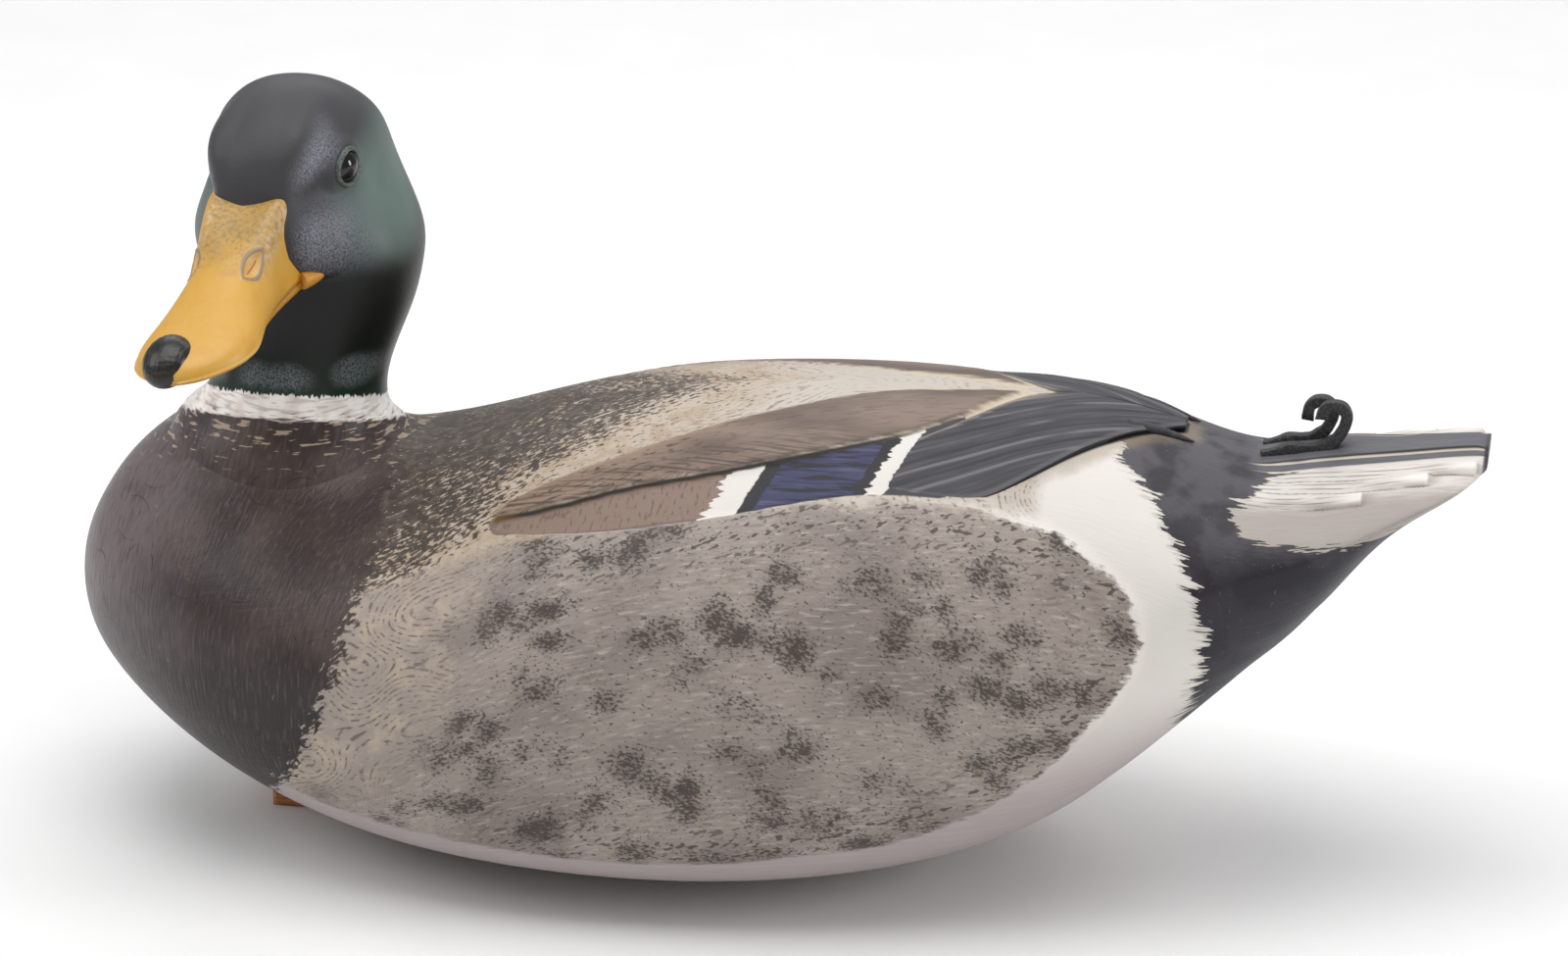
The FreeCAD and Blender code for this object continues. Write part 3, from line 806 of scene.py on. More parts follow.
def wing_paint(at, near):
    """Pinkish covert strip and the speculum, bar by bar."""
    x, girth, _ = at.parts()
    ticks = at.noise(1.0, (1, 0.3, 1), detail=2)
    colour = mix(STRIP_PINK, srgb(92, 76, 68), ticks.rise(0.55, 0.66) * 0.6)
    colour = mix(colour, srgb(92, 78, 70), near.rise(1.6, 0.2) * 0.6)
    lean = x + (girth - 46) * BAR_LEAN
    jag = (at.noise(1.5, (0.12, 1, 1), detail=1) - 0.5) * 9
    smear = at.noise(1.3, (0.1, 1, 1), detail=2)
    blue = mix(SPECULUM_BLUE, srgb(36, 36, 48), smear.rise(0.48, 0.62))
    blue = mix(blue, srgb(96, 92, 124), smear.rise(0.42, 0.3) * 0.5)
    bars = ((47.5, WHITE, jag), (56, BLACK, jag * 0.15), (60, blue, jag * 0.2),
            (83.7, BLACK, jag * 0.3), (87, WHITE, jag * 0.6), (91.8, CHARCOAL, jag * 0.3))
    for start, shade, rough_edge in bars:
        colour = mix(colour, shade, (lean + rough_edge).rise(start - 0.3, start + 0.3))
    return colour


def rump_paint(paint):
    cloud = paint.place.noise(12, detail=3)
    brush = paint.place.noise(0.9, (1, 1, 0.3), detail=3)
    # Painted sheen: the black is laid on lighter towards the top.
    top = paint.place.parts()[2].rise(96, 128)
    colour = mix(srgb(48, 45, 52), srgb(82, 80, 86), top)
    colour = mix(colour, srgb(34, 32, 38), cloud.rise(0.45, 0.62) * 0.7)
    return mix(colour, srgb(122, 120, 126), brush.rise(0.62, 0.8) * 0.35)


def tail_paint(at, dark):
    """Off-white outer tail feathers with shaft lines, painted shade on their lower part, a painted highlight
    and a painted shadow at each stepped end, dark middle feathers.
    """
    x, girth, side = at.parts()
    brush = at.noise(1.0, (0.12, 1, 1), detail=2)
    girth = girth + x.rise(200, 246) * TAIL_NARROWS
    colour = mix(srgb(212, 207, 201), srgb(196, 188, 180), brush.rise(0.45, 0.75))
    colour = mix(colour, srgb(186, 176, 170), at.noise(8, (0.4, 1, 1)).rise(0.5, 0.7) * 0.6)
    # Painted shade: the lower tail feathers, where they curve under, are laid on grey.
    colour = mix(colour, srgb(158, 149, 143), (girth + brush * 6).rise(25, 34) * 0.85)
    edges = [((x - TAIL_ROOT) * ((tip - root) / TAIL_RUN) + root, end) for root, tip, end in TAIL_FEATHERS]
    for edge, end in edges:
        for offset in (0, 1.6, 3.4):
            line = (girth - edge + offset).size().rise(0.34, 0.10) * x.rise(end + 2, end - 1 - offset * 5)
            colour = mix(colour, srgb(118, 106, 98), line * brush.rise(0.34, 0.55) * 0.7)
    for edge, end in edges:
        below = girth - edge
        pad = below.rise(-6, -4) * below.rise(0, -1.5)
        # Painted highlight on each stepped end, and a painted shadow just beyond it.
        painted_pad_highlight = pad * x.rise(end - 12, end - 2) * x.rise(end, end - 0.6)
        step = pad * x.rise(end - 0.3, end + 0.3) * x.rise(end + 5, end)
        colour = mix(colour, srgb(242, 237, 231), painted_pad_highlight * 0.7)
        colour = mix(colour, srgb(150, 140, 134), step * 0.6)
    middle = mix(srgb(78, 78, 84), srgb(108, 107, 112), brush)
    girth = girth + side.rise(-1, 1) * x.rise(198, 206) * x.rise(234, 222) * 4
    bands = ((12.0, middle), (9.4, srgb(200, 190, 176)), (8.8, srgb(48, 46, 50)), (8.3, middle))
    for edge, shade in bands:
        colour = mix(colour, shade, girth.rise(edge + 0.2, edge - 0.2))
    return mix(colour, dark, x.rise(247.6, 248.4))


def hull_colour(paint):
    """All the hull's paint, laid on in the order of a decoy painter."""
    at = paint.field("girth_map")
    x, reach, _ = at.parts()
    scapular, wing, pocket = paint.field("wing_near").parts()
    breast, rump, tail = paint.field("body_near").parts()
    cream, blade, spots = paint.field("cream_near").parts()
    z = paint.place.parts()[2]
    hair = (at.noise(1.3, (0.13, 1, 1), detail=2, rough=0.6) - 0.5)
    ragged = (at.noise(7, detail=4, rough=0.65) - 0.5)

    belly = mix(BELLY, srgb(180, 170, 171), at.noise(1.5, (0.1, 1, 1)).rise(0.45, 0.7) * 0.6)
    white = mix(WHITE, srgb(222, 215, 210), at.noise(9, detail=3).rise(0.5, 0.75))
    colour = mix(belly, white, z.rise(34, 74) * x.rise(70, 110))
    side = flank_paint(at, spots, pocket)
    shoulder_ground = mix(FLANK, srgb(182, 167, 150), ragged.rise(-0.1, 0.2))
    shoulder = swirl_paint(at, shoulder_ground, srgb(96, 84, 76))
    near_shoulder = (breast + ragged * 26).rise(-44, -18) * reach.rise(140, 112)
    side = mix(side, shoulder, near_shoulder)
    lower = reach + ragged * 22 + (x - 40).squared() * 0.0010
    soft = pocket + hair * 4 + ragged * x.rise(90, 140) * 10 - x.rise(90, 140) * 2
    colour = mix(colour, side, soft.rise(-0.4, 1.4) * lower.rise(198, 184))

    mantle = mantle_paint(at)
    above = (reach - 62 - x * -0.10 + ragged * 14)
    colour = mix(colour, mantle, above.rise(3, -3) * x.rise(134, 128))
    stripe = (cream + hair * 3 + ragged * 6).rise(-0.5, 2.5) * (x + ragged * 40).rise(52, 92)
    stripe = stripe * (x + reach * 2).rise(134, 131)
    colour = mix(colour, CREAM, stripe)
    fringe_line = (scapular + hair * 2).rise(-1.8, -0.6) * x.rise(60, 100)
    colour = mix(colour, srgb(196, 182, 160), fringe_line * above.rise(6, 2))

    wing_colour = wing_paint(at, wing)
    colour = mix(colour, wing_colour, (wing + hair * 0.8).rise(-0.3, 0.3) * pocket.rise(0.8, 0.2))
    brown = scapular_paint(at, scapular, wing)
    colour = mix(colour, brown, (scapular + hair * 3 + ragged * 2).rise(-0.6, 1.8))
    edge_shade = wing.size().rise(0.9, 0.2) * scapular.rise(-1.5, 0) * x.rise(104, 88)
    front_stain = wing.size().rise(1.6, 0.3) * x.rise(-6, -16) * scapular.rise(-2.5, 0)
    colour = mix(colour, srgb(48, 40, 34), edge_shade)
    colour = mix(colour, srgb(104, 76, 30), front_stain)

    dark = rump_paint(paint)
    fray = hair * 16 + (at.noise(4, (0.5, 1, 1)) - 0.5) * 5
    colour = mix(colour, CREAM, (rump + fray).rise(-2.5, -1) * 0.6)
    colour = mix(colour, dark, (rump + fray).rise(-0.15, 0.15))
    # Ochre band on the rump along the wing tip's edge.
    ochre_band = (blade + ragged * 5).rise(-6.5, -1.5) * x.rise(118, 138)
    colour = mix(colour, OCHRE, ochre_band * 0.55)
    # Painted shadow: a near-black line on the hull under the wing tip's edge.
    colour = mix(colour, srgb(24, 22, 22), blade.rise(-1.1, -0.2) * x.rise(108, 116))
    tail_colour = tail_paint(at, dark)
    colour = mix(colour, srgb(216, 206, 180), (tail + fray * 0.8).rise(-0.6, -0.3) * 0.6)
    colour = mix(colour, tail_colour, (tail + fray * 0.8).rise(-0.15, 0.15))
    middle = reach + x.rise(200, 246) * TAIL_NARROWS
    colour = mix(colour, tail_colour, middle.rise(12.3, 11.9) * x.rise(184, 190))

    fringe = at.noise(1.2, (0.5, 1, 1), turn=30, detail=3, rough=0.6) - 0.5
    front = breast + ragged * 17 + fringe * 22 * breast.rise(-14, 4)
    colour = mix(colour, breast_paint(paint), front.rise(-0.8, 0.8))
    return ring_paint(paint, colour)


def breast_height(paint):
    """Bump of the combed breast."""
    return paint.place.noise(0.8, (1.0, 0.3, 0.12), turn=25, detail=2) * 1.1


def breast_gloss(paint):
    return paint.place.noise(15, detail=3) * 0.16 + 0.29


def hull_material():
    paint = Paint("body_paint_drake", Specular_IOR_Level=0.28)
    breast, _, _ = paint.field("body_near").parts()
    stroke = paint.field("girth_map").noise(0.9, (0.14, 1, 1), detail=3)
    on_breast = breast.rise(-2, 4)
    height = stroke * 0.6 + breast_height(paint) * on_breast
    roughness = breast_gloss(paint) + on_breast.rest() * 0.12
    return paint.finish(hull_colour(paint), height, 0.16, roughness)


# ---- head ------------------------------------------------------------------

def eye_frame(side):
    """Middle of an eye's glass, and its outward, forward and upward directions."""
    ahead = math.radians(EYE_AHEAD_ANGLE)
    forward, left, up = HEAD_AXES
    outward = forward * math.sin(ahead) + left * side * math.cos(ahead)
    onward = forward * math.cos(ahead) - left * side * math.sin(ahead)
    return head_point((-1, side * EYE_DEPTH + EYE_SHIFT, 0)), outward, onward, up


EYE_RIM_DEPTH = 3.7         # the rim's plane, outward of the glass's middle
EYE_RIM_HALF = (4.5, 5.1)   # half length and half height of its teardrop
EYE_RIM_LEAN = math.radians(12)

# How far forward the feathered face reaches over the bill, by height against the eyes.
MUZZLE_UP = [-38, -33, -30, -27, -25.5, -18, -8.5, -3, 8, 20]
MUZZLE_AHEAD = [8, 11.5, 14.5, 19, 22.8, 25.6, 24.6, 22, 20.5, 17]


def face_shape(points, normals):
    """Carve forehead, brow, eye hollows and cheeks into the plain head."""
    ahead, left, up = np.moveaxis(head_coordinates(points), -1, 0)
    aside = np.abs(left)
    front = smooth(ahead, -6, 6)
    muzzle = np.exp(-(aside / 18) ** 8) * smooth(up, 24, 0) * smooth(up, -40, -31) * front
    curve = 0.0243 - 0.013 * smooth(up, -5, -13)
    reach = np.interp(up, MUZZLE_UP, MUZZLE_AHEAD) - curve * (left + 3.2) ** 2
    moved = points + (muzzle * np.maximum(reach - ahead, 0))[..., None] * HEAD_AXES[0]
    brow = hill(up - 2, (22 - ahead) * 0.62, 4.5) * smooth(aside, 5, 11) * smooth(ahead, -8, 6)
    hollow = hill(up + 5, (12 - ahead) * 0.25, 7) * smooth(aside, 9, 15)
    hollow *= smooth(ahead, -18, 0)
    cheek = hill(up, -19, 10) * hill(ahead, -1, 14) * smooth(aside, 10, 18)
    moved = moved + normals * (1.3 * brow - 2.2 * hollow + 1.1 * cheek)[..., None]
    for side in (1, -1):
        middle, outward, onward, upward = eye_frame(side)
        offset = moved - middle
        across = np.hypot(offset @ onward, offset @ upward)
        depth = offset @ outward
        pull = smooth(across, 9.5, 5.5) * (depth > -4)
        moved = moved + (pull * (EYE_RIM_DEPTH - 0.7 - depth))[..., None] * outward
    return moved


def plain_head():
    """Uncarved head as a grid, with its outward normals."""
    rows = even_rows(HEAD_SLICES, 210)
    angle = np.linspace(0, 2 * math.pi, 220, endpoint=False)
    middle = np.stack([np.full(len(rows), EYE_MID[0]), np.full(len(rows), EYE_MID[1]), rows[:, 0]], axis=1)
    middle += rows[:, 1:2] * LEVEL_FORWARD + rows[:, 2:3] * LEVEL_LEFT
    points = (middle[:, None] + rows[:, 3, None, None] * np.cos(angle)[:, None] * LEVEL_FORWARD
              + rows[:, 4, None, None] * np.sin(angle)[:, None] * LEVEL_LEFT)
    return points, outward_normals(points, middle[:, None])


def head_piece():
    points, normals = plain_head()
    carved = face_shape(points, normals)
    carved = blend_towards(carved, normals, surface_tree(hull_grid()[0]), carved[..., 2] < 146)
    fields = {"head_map": head_coordinates(carved)}
    return grid_object("head_carved", carved, fields, flip=True)


def head_material():
    """Satin near-black green head with painted sheen on the crown and cheeks, a painted stippled highlight on
    the brow, painted shade and two painted highlight spots on the neck, white ring, brown neck base.
    """
    paint = Paint("head_paint_drake", Specular_IOR_Level=0.28)
    at = paint.field("head_map")
    ahead, left, up = at.parts()
    aside = left.size()
    grain = paint.place.noise(0.5, detail=3, rough=0.6)
    cloud = paint.place.noise(14, detail=2)
    # Crown paint and painted sheen: the head is laid on lighter from the dark neck up to the crown.
    colour = mix(HEAD_DARK, HEAD_CROWN_AND_SHEEN, (up + cloud * 8).rise(-34, 6))
    # Green paint, lightened as a painted sheen on the cheek and nape.
    green_up = (up + 11 + (ahead + 12) * 0.25).squared()
    green = (green_up * 0.9 + (ahead + 14).squared() * 0.5).rise(420, 20) * aside.rise(10, 20)
    colour = mix(colour, HEAD_GREEN_AND_SHEEN, green * (cloud * 0.5 + 0.6))
    # Painted shade on the neck under the cheeks.
    colour = mix(colour, srgb(6, 12, 8), up.rise(-24, -36) * 0.9)
    colour = mix(colour, srgb(20, 40, 28), up.rise(-48, -66) * 0.7)
    # Painted highlight: a pale stipple along the brow ridge and down the lore.
    brow_line = (up + 2.5 - (ahead * -1 + 22) * 0.62).size()
    brow = brow_line.rise(7.5, 0) * aside.rise(9, 15) * ahead.rise(-6, 10)
    lore = ((up + 16).size().rise(14, 2)) * aside.rise(10, 16) * ahead.rise(-4, 14)
    stipple = grain.rise(0.30, 0.66)
    colour = mix(colour, HEAD_SHEEN, brow.math("MAXIMUM", lore * 0.65) * stipple * 0.95)
    colour = mix(colour, srgb(88, 90, 92), grain.rise(0.60, 0.80) * 0.25 * up.rise(-40, -20))
    # Painted highlights: two pale stippled spots low on each side of the neck.
    for spot, wide in ((4, 9), (20, 6)):
        offset = ((aside - spot) * (1 / wide)).squared() + ((up + 57) * 0.15).squared()
        colour = mix(colour, srgb(132, 140, 144), offset.rise(1, 0) * grain.rise(0.3, 0.7) * 0.6)
    height = ring_height(paint)
    hair = paint.place.noise(0.9, (1, 1, 0.22), detail=2)
    base = ring_paint(paint, breast_paint(paint))
    colour = mix(base, colour, (height + (hair - 0.5) * 5).rise(RING_HEIGHT + 0.3, RING_HEIGHT + 3.5))
    feathered = height.rise(0, 3)
    strokes = paint.place.noise(0.8, (1, 1, 0.35), detail=3)
    satin = grain * 0.14 + 0.30 + up.rise(-30, -10) * 0.12
    bump = (grain * 0.3 + strokes * 0.3) * feathered + breast_height(paint) * feathered.rest()
    roughness = satin * feathered + breast_gloss(paint) * feathered.rest()
    return paint.finish(colour, bump, 0.16, roughness)


# ---- bill ------------------------------------------------------------------

NOSTRIL = (39.4, 8.7, 11)     # forward of the eyes, and round from the ridge: left, right
NOSTRIL_SIZE = (5.4, 2.8)   # half length and half width
NOSTRIL_LEAN = math.radians(15)
# Corner of the mouth: forward of, aside of and above the eyes, and radius.
GAPE_PATH = [
    (20.5, 12.8, -25.6, 2.6), (18.6, 14.0, -25.6, 2.4), (17.0, 15.0, -25.6, 2.0),
    (15.8, 15.9, -25.5, 1.6), (15.0, 16.6, -25.4, 1.1), (14.4, 17.2, -25.3, 0.4),
]
GAPE_SHIFT = 0.3            # both corners sit this far right of the middle


def bill_grid():
    rows = even_rows(BILL_SLICES, 150)
    around = 150
    angle = np.linspace(0, 2 * math.pi, around, endpoint=False)
    grid = []
    for ahead, half_width, top, bottom in rows:
        height = top - bottom
        low = bottom + 0.3 * height
        root = smooth(ahead, 42, 20)
        power = np.where(np.cos(angle) >= 0, 2 / (2.3 + 6.7 * root), 2 / 2.3)
        rise = np.where(np.cos(angle) >= 0, top - low, low - bottom)
        upward = low + rise * signed_power(np.cos(angle), power)
        down = np.clip((top - upward) / height, 0, 0.8)
        flare = 1 + root * (0.46 * down ** 2.5 - 0.12)
        sideways = half_width * flare * signed_power(np.sin(angle), power)
        drift = 2.3 * hill(ahead, 62, 14) - 1.9 * root
        grid.append(stack(np.full(around, ahead), sideways + drift, upward))
    return np.array(grid)


def bill_piece():
    """Upper and lower mandible in one carving: ridge corners, nostrils, lip and gape."""
    local = bill_grid()
    normals = outward_normals(local, local.mean(axis=1, keepdims=True))
    ahead, aside, up = local[..., 0], np.abs(local[..., 1]), local[..., 2]
    top = local[..., 2].max(axis=1)[:, None]
    bottom = local[..., 2].min(axis=1)[:, None]
    level = (up - bottom) / (top - bottom)
    relief = -1.1 * hill(aside, 0, 6.5) * smooth(ahead, 46, 22) * smooth(level, 0.6, 0.9)
    relief -= 0.9 * hill(level, 0.22, 0.045) * smooth(ahead, 12, 22) * smooth(ahead, 81, 75)
    relief += 0.5 * hill(level, 0.32, 0.06) * smooth(ahead, 46, 62)
    cheeks = hill(level, 0.35, 0.25) * hill(ahead, 44, 13)
    relief += 0.9 * cheeks * smooth(aside, 6, 10)
    steps = np.linalg.norm(np.diff(local, axis=1, append=local[:, :1]), axis=2)
    walked = np.concatenate([np.zeros((len(local), 1)), np.cumsum(steps, axis=1)], axis=1)
    from_ridge = np.minimum(walked[:, :-1], walked[:, -1:] - walked[:, :-1])
    onward, outward = ahead - NOSTRIL[0], from_ridge - np.where(local[..., 1] > 0, *NOSTRIL[1:])
    along = onward * math.cos(NOSTRIL_LEAN) - outward * math.sin(NOSTRIL_LEAN)
    across = onward * math.sin(NOSTRIL_LEAN) + outward * math.cos(NOSTRIL_LEAN)
    almond = np.abs(across) / NOSTRIL_SIZE[1] + (along / NOSTRIL_SIZE[0]) ** 2
    relief += 0.35 * hill(almond, 1.02, 0.2) - 0.8 * smooth(almond, 0.85, 0.3)
    carved = local + normals * relief[..., None]
    fields = {"bill_map": carved, "bill_marks": stack(almond, level, across)}
    bill = grid_object("bill_carved", head_point(carved), fields)
    lobes = []
    for side in (1, -1):
        path = natural_spline(np.array(GAPE_PATH) * (1, side, 1, 1) - (0, GAPE_SHIFT, 0, 0), 24)
        marks = {"bill_map": np.repeat(path[:, None, :3], 20, axis=1),
                 "bill_marks": np.tile(np.array((9.0, 0.15, 9.0)), (len(path), 20, 1))}
        lobes.append(tube("gape", head_point(path[:, :3]), path[:, 3], 20, fields=marks))
    return join(bill, lobes)


def bill_material():
    paint = Paint("bill_paint_yellow", Specular_IOR_Level=0.5, Coat_Weight=0.12, Coat_Roughness=0.3)
    ahead, left, _ = paint.field("bill_map").parts()
    almond, level, across = paint.field("bill_marks").parts()
    wash = paint.place.noise(9, detail=3)
    fine = paint.place.noise(1.7, (1, 1, 0.7), detail=3, rough=0.65)
    colour = mix(BILL_YELLOW, BILL_ORANGE, wash.rise(0.5, 0.75) * 0.5)
    colour = mix(colour, BILL_PALE, level.rise(0.35, 0.6) * (fine - 0.1) * 0.6)
    crest = left.size().rise(17, 7) * ahead.rise(62, 30) * level.rise(0.45, 0.85)
    blotch = paint.place.noise(1.15, detail=3, rough=0.65)
    colour = mix(colour, BILL_SPECKLE, (crest + (wash - 0.5)).rise(0.45, 1.0) * 0.35)
    colour = mix(colour, srgb(102, 94, 62), (crest * 0.75 + (blotch - 0.5) * 2.4).rise(0.6, 1.05) * 0.5)
    rim_fade = (left.size() - 9.5).size().rise(2.5, 0) * ahead.rise(46, 30) * level.rise(0.6, 0.8)
    colour = mix(colour, srgb(206, 184, 158), rim_fade * fine.rise(0.4, 0.6) * 0.6)
    colour = mix(colour, BILL_ORANGE, level.rise(0.28, 0.18) * 0.8)
    colour = mix(colour, BILL_PALE, (level - 0.33).size().rise(0.07, 0.02) * ahead.rise(50, 66) * 0.8)
    colour = mix(colour, srgb(120, 96, 56), (level - 0.22).size().rise(0.03, 0.01) * 0.6)
    colour = mix(colour, srgb(212, 162, 88), almond.rise(1.0, 0.85) * 0.7)
    colour = mix(colour, srgb(128, 118, 98), (almond - 0.98).size().rise(0.26, 0.16) * 0.85)
    slit = across.size().rise(0.4, 0.15) * almond.rise(0.35, 0.2)
    colour = mix(colour, srgb(146, 84, 34), slit * 0.8)
    return paint.finish(colour, fine * 0.6 + wash * 0.4, 0.10, fine * 0.15 + 0.36)


def ball_directions(rows, around, start):
    """Grid of unit directions over a ball: along its axis, and two ways across it."""
    polar = np.linspace(start, math.pi - start, rows)[:, None]
    turn = np.linspace(0, 2 * math.pi, around, endpoint=False)[None, :]
    return stack(np.cos(polar) + 0 * turn, np.sin(polar) * np.cos(turn), np.sin(polar) * np.sin(turn))


NAIL_MIDDLE = (76.4, -0.8, -25.6)   # forward of, left of and above the eyes
NAIL_HALF = (8.3, 6.8, 5.4)         # half length, width and height
NAIL_LEAN = math.radians(-25)


def nail_piece():
    """Glossy raised nail that wraps over the bill's tip."""
    ahead, aside, up = np.moveaxis(ball_directions(60, 72, 0.02) * NAIL_HALF, -1, 0)
    up = up + 0.10 * np.sin(aside * 5.0) * (up > 0)
    forward, upward = math.cos(NAIL_LEAN), math.sin(NAIL_LEAN)
    local = stack(ahead * forward - up * upward, aside, ahead * upward + up * forward) + NAIL_MIDDLE
    return grid_object("bill_nail", head_point(local))


def worn_material(name, colours, size, spread, share, depth, gloss, stretch=(1, 1, 1),
                  detail=3, rough=0.5, **finish):
    """Dark paint, worn lighter and duller by one noise."""
    paint = Paint(name, **finish)
    wear = paint.place.noise(size, stretch, detail=detail, rough=rough)
    colour = mix(*colours, wear.rise(*spread) * share)
    return paint.finish(colour, wear, depth, wear * gloss[0] + gloss[1])


def nail_material():
    return worn_material("nail_black", (srgb(20, 19, 18), srgb(70, 62, 50)), 1.0, (0.5, 0.75), 0.6,
                         0.25, (0.2, 0.26), (0.3, 0.3, 1), Specular_IOR_Level=0.4,
                         Coat_Weight=0.2, Coat_Roughness=0.2)


# ---- eyes ------------------------------------------------------------------

def eye_pieces(side):
    """Glass eye and its teardrop rim of putty."""
    middle, outward, onward, upward = eye_frame(side)
    ball = ball_directions(48, 64, 0.01)
    glass_points = middle + EYE_GLASS_RADIUS * (ball @ np.stack([outward, onward, upward]))
    angle_out = np.degrees(np.arccos(ball[..., 0]))
    name = "left" if side > 0 else "right"
    glass = grid_object("glass_eye_" + name, glass_points, {"iris": angle_out}, flip=side > 0)
    steps = np.linspace(0, 2 * math.pi, 72, endpoint=False)
    drop = 1 + 0.10 * np.cos(steps - math.radians(215)) ** 5
    across = EYE_RIM_HALF[0] * np.cos(steps) * drop
    tall = EYE_RIM_HALF[1] * np.sin(steps) * drop
    level, lean = math.cos(EYE_RIM_LEAN), math.sin(EYE_RIM_LEAN)
    loop = (middle + outward * (EYE_RIM_DEPTH - 0.2) + (across * level - tall * lean)[:, None] * onward
            + (across * lean + tall * level)[:, None] * upward)
    loop = loop - outward * (0.045 * across ** 2)[:, None] * 0.5
    thick = 0.86 + 0.16 * np.sin(steps * 2 + 0.6) + 0.04 * np.sin(steps * 7)
    rim = tube("eye_rim_" + name, loop, thick, 22, closed=True)
    return glass, rim


def eye_glass_material():
    paint = Paint("eye_glass_brown", 0.05, Specular_IOR_Level=0.45, Coat_Weight=0.3, Coat_Roughness=0.02)
    angle, _, _ = paint.field("iris").parts()
    rays = paint.place.noise(0.5, detail=2)
    iris = mix(srgb(24, 16, 11), srgb(44, 28, 17), rays)
    colour = mix(srgb(5, 5, 6), iris, angle.rise(43, 46) * angle.rise(60, 54))
    return paint.finish(colour)


def putty_material():
    return worn_material("putty_painted", (srgb(52, 60, 58), srgb(104, 112, 109)), 0.8, (0.3, 0.75), 1.0,
                         0.2, (0.2, 0.35), Specular_IOR_Level=0.5)


# ---- wing tips and tail curls ----------------------------------------------

def back_height(row, y):
    """Height of the back at a distance from the middle."""
    half_width, top, widest, roundness = row[1], row[2], row[4], row[5]
    share = np.maximum(0, 1 - (np.abs(y) / half_width) ** roundness)
    return widest + (top - widest) * share ** (1 / roundness)


# Lowest primary: x, distance from the middle, radius.
LOWER_TIP = [(152, 10, 1.4), (158, 9.4, 1.4), (163, 8.6, 1.1), (167, 8.2, 0.7), (170, 8, 0.2)]
SHAFT_LINES = [22, 29, 36, 42, 47.5]    # feather shafts, by their distance from the middle
SHAFT_SLOPE = 0.45          # how they lean in towards the tip
BAR_LEAN = 0.36             # how the speculum's bars lean back down the side


def wing_tip_piece(side):
    """Folded primaries: a shingled blade, flush in front and free at the tip."""
    rows = even_rows(WING_TIP, 120)
    share = np.linspace(0, 1, 64)
    grid, marks, strokes = [], [], []
    for x, inner, outer, thickness, gap in rows:
        row = hull_row(x)
        outer = blade_edge(x, outer)
        thickness *= 1 - 0.4 * smooth(x, 135, 160)
        y = inner + (outer - inner) * share
        sweep = y + SHAFT_SLOPE * (x - WING_TIP[0][0])
        outward = (smooth(share, -0.02, 0.5) + smooth(x, 126, 142)).clip(0, 1)
        lift = 0.2 + (thickness - 0.2) * outward * smooth(x, 106, 130)
        behind_bar = smooth(x + (1.1 * y - 46) * BAR_LEAN, 91.4, 92.2)
        lift = lift - 2.0 * (1 - behind_bar)
        shingle = np.zeros(len(y))
        for line in SHAFT_LINES:
            shingle += 0.14 * hill(sweep, line, 0.6)
            shingle -= 0.22 * hill(sweep, line - 3, 0.5)
        rounding = 0.7 * smooth(outer - y, 1.4, 0) * min(1, (outer - inner) / 8)
        height = back_height(row, y) + lift + shingle * smooth(share, 0, 0.1) - rounding
        under = back_height(row, y) + (gap * 0.3 if gap > 0.05 else -1.2)
        under = np.minimum(under, height - 0.5)
        along, none = np.full(len(y), x), np.zeros(len(y))
        grid.append(np.concatenate([stack(along, side * y, height), stack(along, side * y, under)[::-1]]))
        marks.append(np.concatenate([stack(sweep, outer - y, share), stack(none, none, share)[::-1]]))
        top_strokes = stack(along, sweep, none + 3 * side)
        strokes.append(np.concatenate([top_strokes, top_strokes[::-1]]))
    name = "left" if side < 0 else "right"
    fields = {"feather_map": np.array(marks), "stroke_map": np.array(strokes)}
    blade = grid_object("wing_tip_" + name, np.array(grid), fields, flip=side > 0)
    return join(blade, [lower_tip(side)])


def lower_tip(side):
    """Point of the lowest primary, showing under the blade's end."""
    path = []
    for x, y, radius in even_rows(LOWER_TIP, 24):
        path.append((x, side * y, back_height(hull_row(x), y) + 0.5, radius))
    path = np.array(path)
    fields = {"feather_map": np.tile(np.array((9.0, 9.0, 0.5)), (len(path), 12, 1)),
              "stroke_map": np.repeat(path[:, None, :3], 12, axis=1)}
    return tube("lower_tip", path[:, :3], path[:, 3], 12, fields=fields)


def wing_tip_material():
    paint = Paint("wing_tip_charcoal", Specular_IOR_Level=0.4)
    sweep, edge, share = paint.field("feather_map").parts()
    x = paint.place.parts()[0]
    brush = paint.field("stroke_map").noise(0.9, (0.07, 1, 1), detail=3)
    colour = mix(srgb(50, 49, 54), srgb(74, 73, 79), brush.rise(0.3, 0.75))
    long_mask = paint.field("stroke_map").noise(9, (0.5, 1, 1), detail=1)
    for line in SHAFT_LINES:
        shaft = (sweep - line).size().rise(0.8, 0.1) * long_mask.rise(0.40, 0.6)
        colour = mix(colour, srgb(140, 138, 142), shaft * 0.45)
        groove = (sweep - line + 3).size().rise(0.8, 0.1)
        colour = mix(colour, srgb(34, 33, 37), groove * 0.6)
    colour = mix(colour, srgb(124, 121, 122), edge.rise(1.7, 0.7) * edge.rise(0.0, 0.5) * 0.5)
    colour = mix(colour, srgb(26, 24, 26), edge.rise(0.25, 0.02))
    pale_rim = (brush - 0.5) * 2.4 + share * 12
    rim = pale_rim.rise(0.8, 0.2) * x.rise(134, 128)
    colour = mix(colour, srgb(150, 138, 122), rim * 0.6)
    return paint.finish(colour, brush, 0.06, brush * 0.15 + 0.5)


